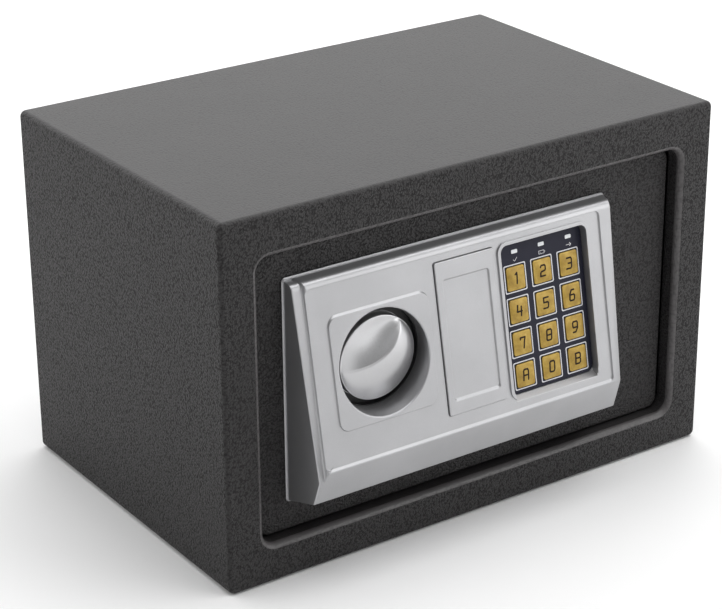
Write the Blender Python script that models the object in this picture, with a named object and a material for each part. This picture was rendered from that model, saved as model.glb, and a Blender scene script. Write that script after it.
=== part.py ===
"""An electronic in-room safe, door closed and bolts drawn in.

Sizes are in millimetres until add_object() turns them into metres. x runs left to right from the
middle of the cabinet, y runs back from the front face of its frame, and z runs up from its base.
In the scene the origin is the middle of the base, so y there is measured from the middle of the depth.
"""

import math

import bmesh
import bpy
from mathutils import Vector

MM = 0.001
GAP = 0.3  # between pieces that touch

# Cabinet
WIDTH, HEIGHT, DEPTH = 310.0, 200.0, 204.0
SHEET = 1.5
FOLD = 3.5  # outer radius of the long folds
EDGE = 2.5  # outer radius around the front and back faces
FRAME_SKIRT = 12.0  # how far the front frame reaches back
BACK_SKIRT = 10.0
OPENING_HALF = (134.0, 78.0)  # to the flat inner wall of the door opening
OPENING_Z = 99.0
OPENING_CORNER = 7.5
ROLL = 3.5  # radius of the rolled edge round the opening
WALL_END = 10.5
ANCHOR_X, ANCHOR_RADIUS = 75.0, 5.0
ANCHOR_WALL_Z, ANCHOR_FLOOR_Y = 120.0, 120.0

# Door
DOOR_FRONT, DOOR_BACK = 8.0, 11.0
DOOR_X, DOOR_Z, DOOR_CORNER = (-132.3, 131.2), (22.4, 175.6), 6.0
HINGE = (122.0, 13.9)  # x and y of the hinge line
PIN_RADIUS = 2.5
PIN_ENDS = {"upper": (150.0, 186.0), "lower": (12.0, 48.0)}
BRACKETS = {"upper": (181.0, 183.0, 196.0), "lower": (17.0, 15.0, 3.5)}  # z of leg, fold and end
BRACKET_HALF, BRACKET_REACH = 10.0, 21.0
COVER_X, COVER_Z, COVER_BACK, COVER_SHEET = (-116.0, 108.0), (30.0, 168.0), 45.0, 1.2
POSTS = [(x, z) for x in (-104.0, 100.0) for z in (37.0, 161.5)]
COVER_CORNER = 6.0
POST_RADIUS, SCREW_RADIUS = 4.0, 1.5

# Lock case on the front of the door
CASE_BASE = DOOR_FRONT - GAP
CASE_PROFILE = [(CASE_BASE, 160.0), (-1.0, 158.8), (-19.5, 62.5), (-13.4, 44.6), (CASE_BASE, 39.1)]
CASE_X, CASE_DRAFT = (-115.5, 85.5), (0.113, 0.19)
CASE_WALL = 3.0
RELIEF = 1.0  # depth of the sunk field on the case's face

# The face of the case is a plane of its own: v runs down it from its top edge, n stands out of it
FACE_TOP = Vector((0.0, CASE_PROFILE[1][0], CASE_PROFILE[1][1]))
FACE_DOWN = Vector((0.0, CASE_PROFILE[2][0] - CASE_PROFILE[1][0], CASE_PROFILE[2][1] - CASE_PROFILE[1][1]))
FACE_DOWN.normalize()
FACE_OUT = Vector((0.0, FACE_DOWN.z, -FACE_DOWN.y))
FIELD = (-108.5, 75.5, 3.5, 96.0)  # x from, x to, v from, v to
SIDE_WALL = ((-110.0, -2.2), (-106.0, 1.0))  # x and n of the slope beside the strip at the face's left
KNOB_PLATEAU = (-98.0, -37.0, 19.0, 79.5)
KEY_COVER = (-31.8, 5.5, 7.5, 88.3)
KEY_COVER_SUNK = (-27.5, 1.2, 17.5, 80.2)
WINDOW = (10.0, 66.3, 8.5, 89.5)
WINDOW_RIM = 2.0
LEDGE = (13.2, 63.0, 10.0, 87.0)

# Keypad
KEY_SIZE = (11.6, 12.6)
KEY_COLUMNS = (21.0, 38.5, 56.0)
KEY_ROWS = (27.9, 45.3, 62.7, 80.0)
KEY_NAMES = (("1", "2", "3"), ("4", "5", "6"), ("7", "8", "9"), ("a", "0", "b"))
LAMPS = {"led_ready": 21.9, "led_low_battery": 39.4, "led_proceed": 57.4}
LAMP_V, LAMP_SIZE = 13.9, (4.0, 2.6)

# Knob and boltwork
KNOB = (-67.4, 109.8)  # x and z of the knob's axis
KNOB_RADIUS, KNOB_RIM, KNOB_BACK = 22.65, -3.7, 3.2
CREST_HEIGHT = 6.5
CREST_CENTRE, CREST_RADIUS = (-18.5, 33.3), 35.7  # the crest's arc, from the knob's axis
WELL_RADIUS, WELL_FLOOR = 27.0, 3.5
SHAFT_RADIUS = 4.0
THROW = 12.0
CRANK = THROW / math.sqrt(2.0)  # a quarter turn carries the crank pin across by the throw
CRANK_PIN_RADIUS, CRANK_SLOT = 2.5, 5.8
CAM_Y = (14.0, 17.2)
PLATE_Y = (11.5, 13.2)
PLATE_X, PLATE_Z = (-101.5, -46.0), (65.0, 155.0)
BOLT_ROWS = {"upper": 145.0, "lower": 75.0}
BOLT_Y, BOLT_RADIUS, BOLT_TIP = 19.5, 6.0, -128.0
GUIDE_X, GUIDE_RADIUS = -78.0, 2.5

# Solenoid, key cylinder and batteries
PLUNGER, PLUNGER_RADIUS, PLUNGER_TIP = (-44.5, 24.0), 3.5, 103.8
STRAP_X, STRAP_Y, STRAP_Z = (-55.0, -34.0), (14.2, 33.0), (111.7, 138.8)
CYLINDER = (-13.1, 110.0)
CYLINDER_RADIUS, CYLINDER_Y, PLUG_RADIUS = 9.5, (-5.0, 29.0), 6.0
BATTERY_X, BATTERY_Z, BATTERY_Y = (13.0, 77.0), (64.5, 120.0), (25.0, 43.5)
CELL_RADIUS, CELL_Y = 7.1, 33.7
RESET = (92.0, 100.0)
WIRE_HOLE, WIRE_HOLE_RADIUS = (38.0, 100.0), 6.0

MATERIALS = {
    "charcoal_paint": ((0.055, 0.052, 0.055), 0.55, 0.3),
    "silver_paint": ((0.50, 0.50, 0.51), 0.42, 0.55),
    "knob_plating": ((0.66, 0.66, 0.67), 0.22, 0.8),
    "plated_steel": ((0.55, 0.55, 0.53), 0.35, 0.9),
    "brass": ((0.62, 0.46, 0.20), 0.35, 0.9),
    "keypad_film": ((0.022, 0.022, 0.035), 0.30, 0.0),
    "gold_key": ((0.66, 0.47, 0.11), 0.35, 0.4),
    "lamp_window": ((0.85, 0.86, 0.86), 0.30, 0.0),
    "board": ((0.03, 0.16, 0.07), 0.50, 0.0),
    "black_plastic": ((0.03, 0.03, 0.03), 0.50, 0.0),
    "red_plastic": ((0.60, 0.03, 0.02), 0.40, 0.0),
    "felt": ((0.05, 0.05, 0.055), 0.95, 0.0),
    "cell_wrap": ((0.05, 0.07, 0.12), 0.35, 0.2),
    "coil_tape": ((0.45, 0.25, 0.05), 0.50, 0.0),
}

groups = {}


def clear_scene():
    for obj in list(bpy.data.objects):
        bpy.data.objects.remove(obj)


def make_materials():
    for name, (colour, roughness, metallic) in MATERIALS.items():
        material = bpy.data.materials.new(name)
        material.use_nodes = True
        shader = material.node_tree.nodes["Principled BSDF"]
        shader.inputs["Base Color"].default_value = (*colour, 1.0)
        shader.inputs["Roughness"].default_value = roughness
        shader.inputs["Metallic"].default_value = metallic


def to_scene(point):
    return Vector((point[0], point[1] - DEPTH / 2, point[2])) * MM


def make_group(name, pivot, parent=None):
    """An empty on a joint's axis, which carries the pieces that move about it."""
    empty = bpy.data.objects.new(name, None)
    empty.empty_display_size = 0.02
    bpy.context.collection.objects.link(empty)
    empty.parent = groups[parent][0] if parent else None
    empty.location = to_scene(pivot) - (to_scene(groups[parent][1]) if parent else Vector())
    groups[name] = (empty, pivot)


def add_object(name, bm, material, group):
    """Makes the object in metres, with its origin on its group's joint axis."""
    empty, pivot = groups[group]
    for vert in bm.verts:
        vert.co = (vert.co - Vector(pivot)) * MM
    mesh = bpy.data.meshes.new(name)
    bm.to_mesh(mesh)
    bm.free()
    mesh.materials.append(bpy.data.materials[material])
    mesh.shade_smooth()
    mesh.set_sharp_from_angle(angle=math.radians(35))
    obj = bpy.data.objects.new(name, mesh)
    bpy.context.collection.objects.link(obj)
    obj.parent = empty
    return obj


def boolean(target, bm, operation="DIFFERENCE"):
    """Cuts the shape in bm from the target, or joins it to the target."""
    for vert in bm.verts:
        vert.co = to_scene(vert.co)
    mesh = bpy.data.meshes.new(f"{target.name}_tool")
    bm.to_mesh(mesh)
    bm.free()
    tool = bpy.data.objects.new(mesh.name, mesh)
    tool.hide_render = True
    tool.display_type = "WIRE"
    bpy.context.collection.objects.link(tool)
    modifier = target.modifiers.new(operation.lower(), "BOOLEAN")
    modifier.operation = operation
    modifier.object = tool
    return tool


# Shapes. Each adds one closed body to bm, or to a new bmesh.


def loft(rings, closed=False, bm=None):
    """A skin over a row of rings, capped at both ends unless the row closes on itself."""
    bm = bm or bmesh.new()
    rows = [[bm.verts.new(point) for point in ring] for ring in rings]
    for low, high in zip(rows, rows[1:] + rows[:1] if closed else rows[1:]):
        for i in range(len(low)):
            j = (i + 1) % len(low)
            bm.faces.new((low[i], low[j], high[j], high[i]))
    if not closed:
        bm.faces.new(rows[0])
        bm.faces.new(rows[-1])
    bmesh.ops.recalc_face_normals(bm, faces=bm.faces)
    return bm


def arc(centre, radius, start, end, steps):
    """Points on an arc, with angles in degrees."""
    angles = [math.radians(start + (end - start) * i / steps) for i in range(steps + 1)]
    return [(centre[0] + radius * math.cos(a), centre[1] + radius * math.sin(a)) for a in angles]


def rounded_outline(x, z, radius, steps=3):
    """A rectangle with round corners, from x[0] to x[1] and z[0] to z[1]."""
    corners = [
        ((x[1] - radius, z[1] - radius), 0),
        ((x[0] + radius, z[1] - radius), 90),
        ((x[0] + radius, z[0] + radius), 180),
        ((x[1] - radius, z[0] + radius), 270),
    ]
    return [point for centre, start in corners for point in arc(centre, radius, start, start + 90, steps)]


def link_outline(first, first_radius, second, second_radius, steps=8):
    """Two round ends joined by their outer tangents."""
    across = Vector(second) - Vector(first)
    heading = math.degrees(math.atan2(across.y, across.x))
    swing = math.degrees(math.acos((first_radius - second_radius) / across.length))
    near = arc(first, first_radius, heading + swing, heading + 360 - swing, steps)
    far = arc(second, second_radius, heading - swing, heading + swing, steps)
    return near + far


def upright(outline, y):
    return [(x, y, z) for x, z in outline]


def slab(outline, y_from, y_to, bm=None):
    """An outline in x and z, carried from y_from to y_to."""
    return loft([upright(outline, y_from), upright(outline, y_to)], bm=bm)


def box(x, y, z, bm=None):
    return slab([(x[0], z[0]), (x[1], z[0]), (x[1], z[1]), (x[0], z[1])], y[0], y[1], bm)


def extrude_x(outline, x_from, x_to, bm=None):
    """An outline in y and z, carried from x_from to x_to."""
    return loft([[(x, y, z) for y, z in outline] for x in (x_from, x_to)], bm=bm)


def extrude_z(outline, z_from, z_to, bm=None):
    """An outline in x and y, carried from z_from to z_to."""
    return loft([[(x, y, z) for x, y in outline] for z in (z_from, z_to)], bm=bm)


def turned(axis, centre, profile, steps=24, closed=False, bm=None):
    """A turned body: the profile's (place along the axis, radius) pairs, about an axis X, Y or Z."""

    def ring(place, radius):
        circle = [arc(centre, radius, 360 * i / steps, 360 * i / steps, 1)[0] for i in range(steps)]
        if axis == "X":
            return [(place, a, b) for a, b in circle]
        if axis == "Y":
            return [(a, place, b) for a, b in circle]
        return [(a, b, place) for a, b in circle]

    return loft([ring(place, radius) for place, radius in profile], closed, bm)


def face_point(x, v, n):
    return FACE_TOP + Vector((x, 0.0, 0.0)) + FACE_DOWN * v + FACE_OUT * n


def face_slab(area, radius, n_from, n_to, grow=0.0, steps=3, bm=None):
    """A round-cornered block standing on the case's face, over area grown by grow on each side."""
    x, v = (area[0] - grow, area[1] + grow), (area[2] - grow, area[3] + grow)
    outline = rounded_outline(x, v, radius + max(grow, 0.0), steps)
    return loft([[face_point(a, b, n) for a, b in outline] for n in (n_from, n_to)], bm=bm)


def centred(x, v, size):
    return (x - size[0] / 2, x + size[0] / 2, v - size[1] / 2, v + size[1] / 2)


# Cabinet


def cabinet_ring(inset, y, steps=5):
    """The cabinet's outline, drawn in by inset."""
    x, z = (inset - WIDTH / 2, WIDTH / 2 - inset), (inset, HEIGHT - inset)
    return upright(rounded_outline(x, z, FOLD - inset, steps), y)


def opening_ring(grow, y, steps=5):
    """The outline of the door opening, let out by grow."""
    half_x, half_z = OPENING_HALF[0] + grow, OPENING_HALF[1] + grow
    z = (OPENING_Z - half_z, OPENING_Z + half_z)
    return upright(rounded_outline((-half_x, half_x), z, OPENING_CORNER + grow, steps), y)


def edge_rings(radius, angles, y_of):
    """Rings round the cabinet's outer edge. At 0 degrees they are on its side, at 90 on its face."""
    rings = []
    for angle in map(math.radians, angles):
        rings.append(cabinet_ring(EDGE - radius * math.cos(angle), y_of(EDGE - radius * math.sin(angle))))
    return rings


def roll_rings(radius, angles):
    """Rings round the rolled edge of the opening. At 0 degrees they are on the face, at 90 on the wall."""
    rings = []
    for angle in map(math.radians, angles):
        rings.append(opening_ring(ROLL - radius * math.sin(angle), ROLL - radius * math.cos(angle)))
    return rings


def make_cabinet():
    make_group("cabinet", (0.0, DEPTH / 2, 0.0))
    skirt, shell_end = FRAME_SKIRT + GAP, DEPTH - BACK_SKIRT - GAP
    rings = [cabinet_ring(0, skirt), cabinet_ring(0, shell_end)]
    rings += [cabinet_ring(SHEET, shell_end), cabinet_ring(SHEET, skirt)]
    shell = add_object("cabinet_shell", loft(rings, closed=True), "charcoal_paint", "cabinet")
    holes = bmesh.new()
    for x in (-ANCHOR_X, ANCHOR_X):
        turned("Z", (x, ANCHOR_FLOOR_Y), [(-1, ANCHOR_RADIUS), (SHEET + 1, ANCHOR_RADIUS)], 16, bm=holes)
    boolean(shell, holes)

    rings = [cabinet_ring(0, FRAME_SKIRT), *edge_rings(EDGE, (0, 30, 60, 90), float)]
    rings += [*roll_rings(ROLL, (0, 30, 60, 90)), opening_ring(0, WALL_END), opening_ring(SHEET, WALL_END)]
    rings += roll_rings(ROLL - SHEET, (90, 45, 0))
    rings += [*edge_rings(EDGE - SHEET, (90, 0), float), cabinet_ring(SHEET, FRAME_SKIRT)]
    add_object("front_frame", loft(rings, closed=True), "charcoal_paint", "cabinet")

    def from_back(y):
        return DEPTH - y

    rings = [*edge_rings(EDGE, (90, 60, 30, 0), from_back), cabinet_ring(0, DEPTH - BACK_SKIRT)]
    rings += [cabinet_ring(SHEET, DEPTH - BACK_SKIRT), *edge_rings(EDGE - SHEET, (0, 90), from_back)]
    back = add_object("back_panel", loft(rings), "charcoal_paint", "cabinet")
    holes = bmesh.new()
    for x in (-ANCHOR_X, ANCHOR_X):
        ends = [(DEPTH - 5, ANCHOR_RADIUS), (DEPTH + 1, ANCHOR_RADIUS)]
        turned("Y", (x, ANCHOR_WALL_Z), ends, 16, bm=holes)
    boolean(back, holes)

    mat_z = (SHEET + GAP, SHEET + GAP + 2.0)
    mat = add_object("floor_mat", box((-147, 147), (24, 198), mat_z), "felt", "cabinet")
    holes = bmesh.new()
    for x in (-ANCHOR_X, ANCHOR_X):
        turned("Z", (x, ANCHOR_FLOOR_Y), [(mat_z[0] - 1, 7), (mat_z[1] + 1, 7)], 16, bm=holes)
    boolean(mat, holes)


def make_hinge_brackets():
    """Folded plates welded behind the frame's face; each has a hole for a hinge pin."""
    lap, tab = SHEET + GAP, SHEET + GAP + 2.0
    for name, (leg, fold, end) in BRACKETS.items():
        outline = [(lap, leg), (BRACKET_REACH, leg), (BRACKET_REACH, fold)]
        outline += [(tab, fold), (tab, end), (lap, end)]
        bracket = extrude_x(outline, HINGE[0] - BRACKET_HALF, HINGE[0] + BRACKET_HALF)
        bracket = add_object(f"hinge_bracket_{name}", bracket, "plated_steel", "cabinet")
        hole = [(min(leg, fold) - 1, PIN_RADIUS + GAP), (max(leg, fold) + 1, PIN_RADIUS + GAP)]
        boolean(bracket, turned("Z", HINGE, hole))


def make_strike_plate():
    """An angle that backs the frame's wall where the bolts pass behind it."""
    wall = -OPENING_HALF[0] - SHEET - GAP
    outline = [(wall - 1.5, 4.5), (wall, 4.5), (wall, 11.5), (wall + 5.3, 11.5), (wall + 5.3, 13.0)]
    outline.append((wall - 1.5, 13.0))
    add_object("strike_plate", extrude_z(outline, 58, 162), "plated_steel", "cabinet")


# Door


def make_door_plate():
    chamfer = 0.8
    front, back = (chamfer, DOOR_FRONT), (chamfer, DOOR_BACK)
    rings = []
    for inset, y in (front, (0, DOOR_FRONT + chamfer), (0, DOOR_BACK - chamfer), back):
        x, z = (DOOR_X[0] + inset, DOOR_X[1] - inset), (DOOR_Z[0] + inset, DOOR_Z[1] - inset)
        rings.append(upright(rounded_outline(x, z, DOOR_CORNER - inset), y))
    plate = add_object("door_plate", loft(rings), "charcoal_paint", "door")

    post_end = COVER_BACK - COVER_SHEET - GAP
    posts = bmesh.new()
    bore = SCREW_RADIUS + GAP
    for post in POSTS:
        profile = [(DOOR_BACK - 1, POST_RADIUS), (post_end, POST_RADIUS), (post_end, bore), (30, bore)]
        turned("Y", post, profile, 12, bm=posts)
    boolean(plate, posts, "UNION")

    holes = bmesh.new()
    openings = [(KNOB, SHAFT_RADIUS + 0.6), (CYLINDER, CYLINDER_RADIUS + GAP), (WIRE_HOLE, WIRE_HOLE_RADIUS)]
    openings += [((GUIDE_X, z), GUIDE_RADIUS + GAP) for z in BOLT_ROWS.values()]
    for centre, radius in openings:
        turned("Y", centre, [(DOOR_FRONT - 1, radius), (DOOR_BACK + 0.2, radius)], 20, bm=holes)
    boolean(plate, holes)

    for name, ends in PIN_ENDS.items():
        profile = [(ends[0], PIN_RADIUS - 0.4), (ends[0] + 0.4, PIN_RADIUS)]
        profile += [(ends[1] - 0.4, PIN_RADIUS), (ends[1], PIN_RADIUS - 0.4)]
        add_object(f"hinge_pin_{name}", turned("Z", HINGE, profile, 16), "plated_steel", "door")


def cover_ring(inset, y):
    x, z = (COVER_X[0] + inset, COVER_X[1] - inset), (COVER_Z[0] + inset, COVER_Z[1] - inset)
    return upright(rounded_outline(x, z, max(COVER_CORNER - inset, 2.0)), y)


def make_lock_cover():
    """A folded pan that closes in the boltwork and the batteries on the back of the door."""
    front, bend = DOOR_BACK + GAP, 2.0
    rings = [cover_ring(bend, COVER_BACK), cover_ring(0.6, COVER_BACK - 0.6)]
    rings += [cover_ring(0, COVER_BACK - bend), cover_ring(0, front), cover_ring(COVER_SHEET, front)]
    rings += [cover_ring(COVER_SHEET, COVER_BACK - bend), cover_ring(bend, COVER_BACK - COVER_SHEET)]
    cover = add_object("lock_cover", loft(rings), "charcoal_paint", "door")
    through = (COVER_BACK - 3, COVER_BACK + 1)
    holes = box((BATTERY_X[0] + 0.4, BATTERY_X[1] - 0.4), through, (BATTERY_Z[0] + 0.4, BATTERY_Z[1] - 0.4))
    turned("Y", RESET, [(y, 3.4) for y in through], 20, bm=holes)
    for post in POSTS:
        turned("Y", post, [(y, 1.9) for y in through], 12, bm=holes)
    for z in BOLT_ROWS.values():
        ends = [(COVER_X[0] - 1, BOLT_RADIUS + 0.9), (COVER_X[0] + 3, BOLT_RADIUS + 0.9)]
        turned("X", (BOLT_Y, z), ends, bm=holes)
    boolean(cover, holes)
    head = COVER_BACK + GAP
    for number, post in enumerate(POSTS, 1):
        profile = [(33, 1.5), (head, 1.5), (head, 3.4), (head + 1.2, 3.2), (head + 1.9, 2.0)]
        add_object(f"cover_screw_{number}", turned("Y", post, profile, 12), "plated_steel", "door")


# Lock case


def offset_outline(points, distances):
    """Moves each edge of an anticlockwise outline in by its distance and returns the new corners."""
    lines = []
    for i, distance in enumerate(distances):
        start, end = Vector(points[i]), Vector(points[(i + 1) % len(points)])
        along = (end - start).normalized()
        lines.append((start + Vector((-along.y, along.x)) * distance, along))
    corners = []
    for (first, along), (second, other) in zip(lines[-1:] + lines[:-1], lines):
        step = (second - first).cross(other) / along.cross(other)
        corners.append(first + along * step)
    return corners


def case_wedge(inset, base_out=0.0):
    """The case's solid wedge, drawn in by inset all round and let out at its base by base_out."""
    profile = offset_outline(CASE_PROFILE, [inset] * 4 + [-base_out])
    rings = []
    for side, slope, inward in ((CASE_X[0], CASE_DRAFT[0], 1), (CASE_X[1], CASE_DRAFT[1], -1)):
        ring = [(side + inward * (inset + slope * (CASE_BASE - y)), y, z) for y, z in profile]
        rings.append(ring)
    return loft(rings)


def side_strip():
    """What is cut away to lower the strip at the left of the face, up to a sloping wall."""
    rings = []
    for x, n in SIDE_WALL:
        outline = ((-130, 2), (x, 2), (x, 120), (-130, 120))
        rings.append([face_point(a, b, n) for a, b in outline])
    return loft(rings)


def make_bezel():
    case = add_object("bezel", case_wedge(0.0), "silver_paint", "door")
    edges = case.modifiers.new("edges", "BEVEL")
    edges.width = 1.2 * MM
    edges.segments = 2

    hollow = boolean(case, case_wedge(CASE_WALL, base_out=1.0))
    boolean(hollow, turned("Y", KNOB, [(-30, WELL_RADIUS + 2.2), (12, WELL_RADIUS + 2.2)], 40))
    boolean(hollow, face_slab(KEY_COVER, 3, -4.7, 2, grow=2.5))
    boolean(hollow, face_slab(WINDOW, 4, -7.9, 2, grow=2.4))

    field = boolean(case, face_slab(FIELD, 3, -RELIEF, 3))
    boolean(field, face_slab(KNOB_PLATEAU, 6, -5, 5))
    boolean(field, face_slab(WINDOW, 4, -5, 5, grow=WINDOW_RIM))

    boolean(case, side_strip())
    boolean(case, face_slab(KEY_COVER, 1.2, -2.3, 3, grow=GAP))
    boolean(case, face_slab(WINDOW, 4, -5.9, 3))
    boolean(case, face_slab(LEDGE, 2, -9, 0))
    boolean(case, turned("Y", KNOB, [(-30, WELL_RADIUS), (WELL_FLOOR, WELL_RADIUS)], 40))
    boolean(case, turned("Y", KNOB, [(0, 5), (10, 5)], 20))
    boolean(case, turned("Y", CYLINDER, [(-15, 11), (6, 11)], 24))


def make_key_cover():
    """The snap-in cover over the emergency key cylinder, sunk in its middle."""
    middle = face_point(sum(KEY_COVER[:2]) / 2, sum(KEY_COVER[2:]) / 2, 0.0)
    make_group("key_cover", middle, "door")
    cover = add_object("override_cover", face_slab(KEY_COVER, 1, -2.0, 0), "silver_paint", "key_cover")
    boolean(cover, face_slab(KEY_COVER_SUNK, 1.5, -0.9, 1))


def make_keypad():
    overlay = add_object("keypad_overlay", face_slab(WINDOW, 4, -5.6, -4.6, grow=-GAP), "keypad_film", "door")
    board_area = (9.0, 67.0, 9.0, 92.0)
    board = add_object("control_board", face_slab(board_area, 1, -9.8, -8.2), "board", "door")
    cuts, domes = bmesh.new(), bmesh.new()
    for row, names in zip(KEY_ROWS, KEY_NAMES):
        for column, name in zip(KEY_COLUMNS, names):
            key = centred(column, row, KEY_SIZE)
            face_slab(key, 1.4, -7, -3, grow=0.4, steps=2, bm=cuts)
            face_slab(centred(column, row, (7.0, 7.0)), 3, -8.6, -7.1, steps=2, bm=domes)
            make_group(f"press_{name}", face_point(column, row, -4.0), "door")
            add_object(f"key_{name}", face_slab(key, 1.2, -6.2, -4.0, steps=2), "gold_key", f"press_{name}")
    for name, x in LAMPS.items():
        lamp = centred(x, LAMP_V, LAMP_SIZE)
        face_slab(lamp, 0.5, -7, -3, grow=GAP, steps=1, bm=cuts)
        add_object(name, face_slab(lamp, 0.4, -7.9, -4.4, steps=1), "lamp_window", "door")
    boolean(overlay, cuts)
    boolean(board, domes, "UNION")


# Knob and boltwork


def knob_height(x, z):
    """How far the knob's front stands out of its rim: a curved crest, domed below and scooped above."""
    from_centre = math.hypot(x - CREST_CENTRE[0], z - CREST_CENTRE[1])
    outward = Vector((x - CREST_CENTRE[0], z - CREST_CENTRE[1])) / from_centre
    foot = Vector(CREST_CENTRE) + outward * CREST_RADIUS
    crest = CREST_HEIGHT * max(0.0, 1 - foot.length_squared / KNOB_RADIUS**2) ** 0.6
    middle = foot.dot(outward)
    reach = math.sqrt(max(0.0, middle**2 - foot.length_squared + KNOB_RADIUS**2))
    side = from_centre - CREST_RADIUS
    room = reach - middle if side > 0 else reach + middle
    share = min(1.0, abs(side) / max(room, 0.01))
    return crest * (1 - share**1.8 if side > 0 else (1 - share) ** 2)


def make_knob():
    make_group("knob_axis", (KNOB[0], KNOB_RIM, KNOB[1]), "door")
    steps, socket = 36, SHAFT_RADIUS + GAP

    def ring(radius, y):
        """A ring at y, or on the knob's front where y is None."""
        points = []
        for angle in (2 * math.pi * i / steps for i in range(steps)):
            x, z = radius * math.cos(angle), radius * math.sin(angle)
            depth = KNOB_RIM - knob_height(x, z) if y is None else y
            points.append((KNOB[0] + x, depth, KNOB[1] + z))
        return points

    rings = [ring(socket, -1.0), ring(socket, KNOB_BACK), ring(KNOB_RADIUS - 1, KNOB_BACK)]
    rings += [ring(KNOB_RADIUS, KNOB_BACK - 1), ring(KNOB_RADIUS, KNOB_RIM + 0.4)]
    rings += [ring(KNOB_RADIUS * share, None) for share in (0.985, 0.9, 0.75, 0.6, 0.45, 0.3, 0.15, 0.03)]
    add_object("knob", loft(rings), "knob_plating", "knob_axis")
    shaft = turned("Y", KNOB, [(-0.7, SHAFT_RADIUS), (17.8, SHAFT_RADIUS)], 20)
    add_object("knob_shaft", shaft, "plated_steel", "knob_axis")

    pin = (KNOB[0] + THROW / 2, KNOB[1] + THROW / 2)
    cam = slab(link_outline(KNOB, 6.5, pin, 4.2), *CAM_Y)
    cam = add_object("drive_cam", cam, "plated_steel", "knob_axis")
    crank_pin = turned("Y", pin, [(DOOR_BACK + GAP, CRANK_PIN_RADIUS), (CAM_Y[0] + 1, CRANK_PIN_RADIUS)], 16)
    boolean(cam, crank_pin, "UNION")
    boolean(cam, turned("Y", KNOB, [(CAM_Y[0] - 1, socket), (CAM_Y[1] + 1, socket)], 20))


def make_boltwork():
    make_group("boltwork", (KNOB[0], BOLT_Y, KNOB[1]), "door")
    tail_x, tail_z = -41.5, (88.0, 100.0)
    outline = [(PLATE_X[0], PLATE_Z[0]), (PLATE_X[1], PLATE_Z[0]), (PLATE_X[1], tail_z[0])]
    outline += [(tail_x, tail_z[0]), (tail_x, tail_z[1]), (PLATE_X[1], tail_z[1])]
    outline += [(PLATE_X[1], PLATE_Z[1]), (PLATE_X[0], PLATE_Z[1])]
    plate = add_object("bolt_carriage", slab(outline, *PLATE_Y), "plated_steel", "boltwork")

    folds = box((tail_x - 7.5, tail_x - 0.5), (12.5, 28), (98.3, 99.9))
    for z in BOLT_ROWS.values():
        box((-98, -96.3), (12.5, 27), (z - 8, z + 8), folds)
    boolean(plate, folds, "UNION")

    left, right, half = KNOB[0] - 4.7, KNOB[0] + THROW + 4.7, 4.7
    slot_x, slot_top = KNOB[0] + THROW / 2, KNOB[1] + CRANK + CRANK_PIN_RADIUS + 0.8
    yoke = [(left, KNOB[1] - half), (right, KNOB[1] - half), (right, KNOB[1] + half)]
    yoke += [(slot_x + CRANK_SLOT / 2, KNOB[1] + half), (slot_x + CRANK_SLOT / 2, slot_top)]
    yoke += [(slot_x - CRANK_SLOT / 2, slot_top), (slot_x - CRANK_SLOT / 2, KNOB[1] + half)]
    yoke.append((left, KNOB[1] + half))
    holes = slab(yoke, 10, 15)
    for z in BOLT_ROWS.values():
        guide = rounded_outline((GUIDE_X - 3, GUIDE_X + THROW + 3), (z - 2.8, z + 2.8), 2.7)
        slab(guide, 10, 15, holes)
        turned("X", (BOLT_Y, z), [(-100, 3.3), (-94, 3.3)], 16, bm=holes)
    boolean(plate, holes)

    for name, z in BOLT_ROWS.items():
        profile = [(BOLT_TIP, 4.6), (BOLT_TIP + 1.4, BOLT_RADIUS), (-98.3, BOLT_RADIUS), (-98.3, 3)]
        profile += [(-96, 3), (-96, 5), (-93.5, 5)]
        add_object(f"bolt_{name}", turned("X", (BOLT_Y, z), profile, 20), "plated_steel", "boltwork")
        profile = [(DOOR_FRONT + 0.6, GUIDE_RADIUS), (13.6, GUIDE_RADIUS)]
        profile += [(13.6, 4.6), (15.6, 4.6), (16.2, 4.0)]
        screw = turned("Y", (GUIDE_X, z), profile, 16)
        add_object(f"guide_screw_{name}", screw, "plated_steel", "door")


# Solenoid and key cylinder


def make_spring(bottom, top):
    """A round-wire spring about the plunger."""
    radius, wire, turns, steps, sides = 4.6, 0.4, 3, 12, 6
    rings = []
    for i in range(turns * steps + 1):
        turn = 2 * math.pi * i / steps
        height = bottom + wire + (top - bottom - 2 * wire) * i / (turns * steps)
        ring = []
        for around in (2 * math.pi * k / sides for k in range(sides)):
            reach = radius + wire * math.cos(around)
            x, y = PLUNGER[0] + reach * math.cos(turn), PLUNGER[1] + reach * math.sin(turn)
            ring.append((x, y, height + wire * math.sin(around)))
        rings.append(ring)
    return loft(rings)


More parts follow.
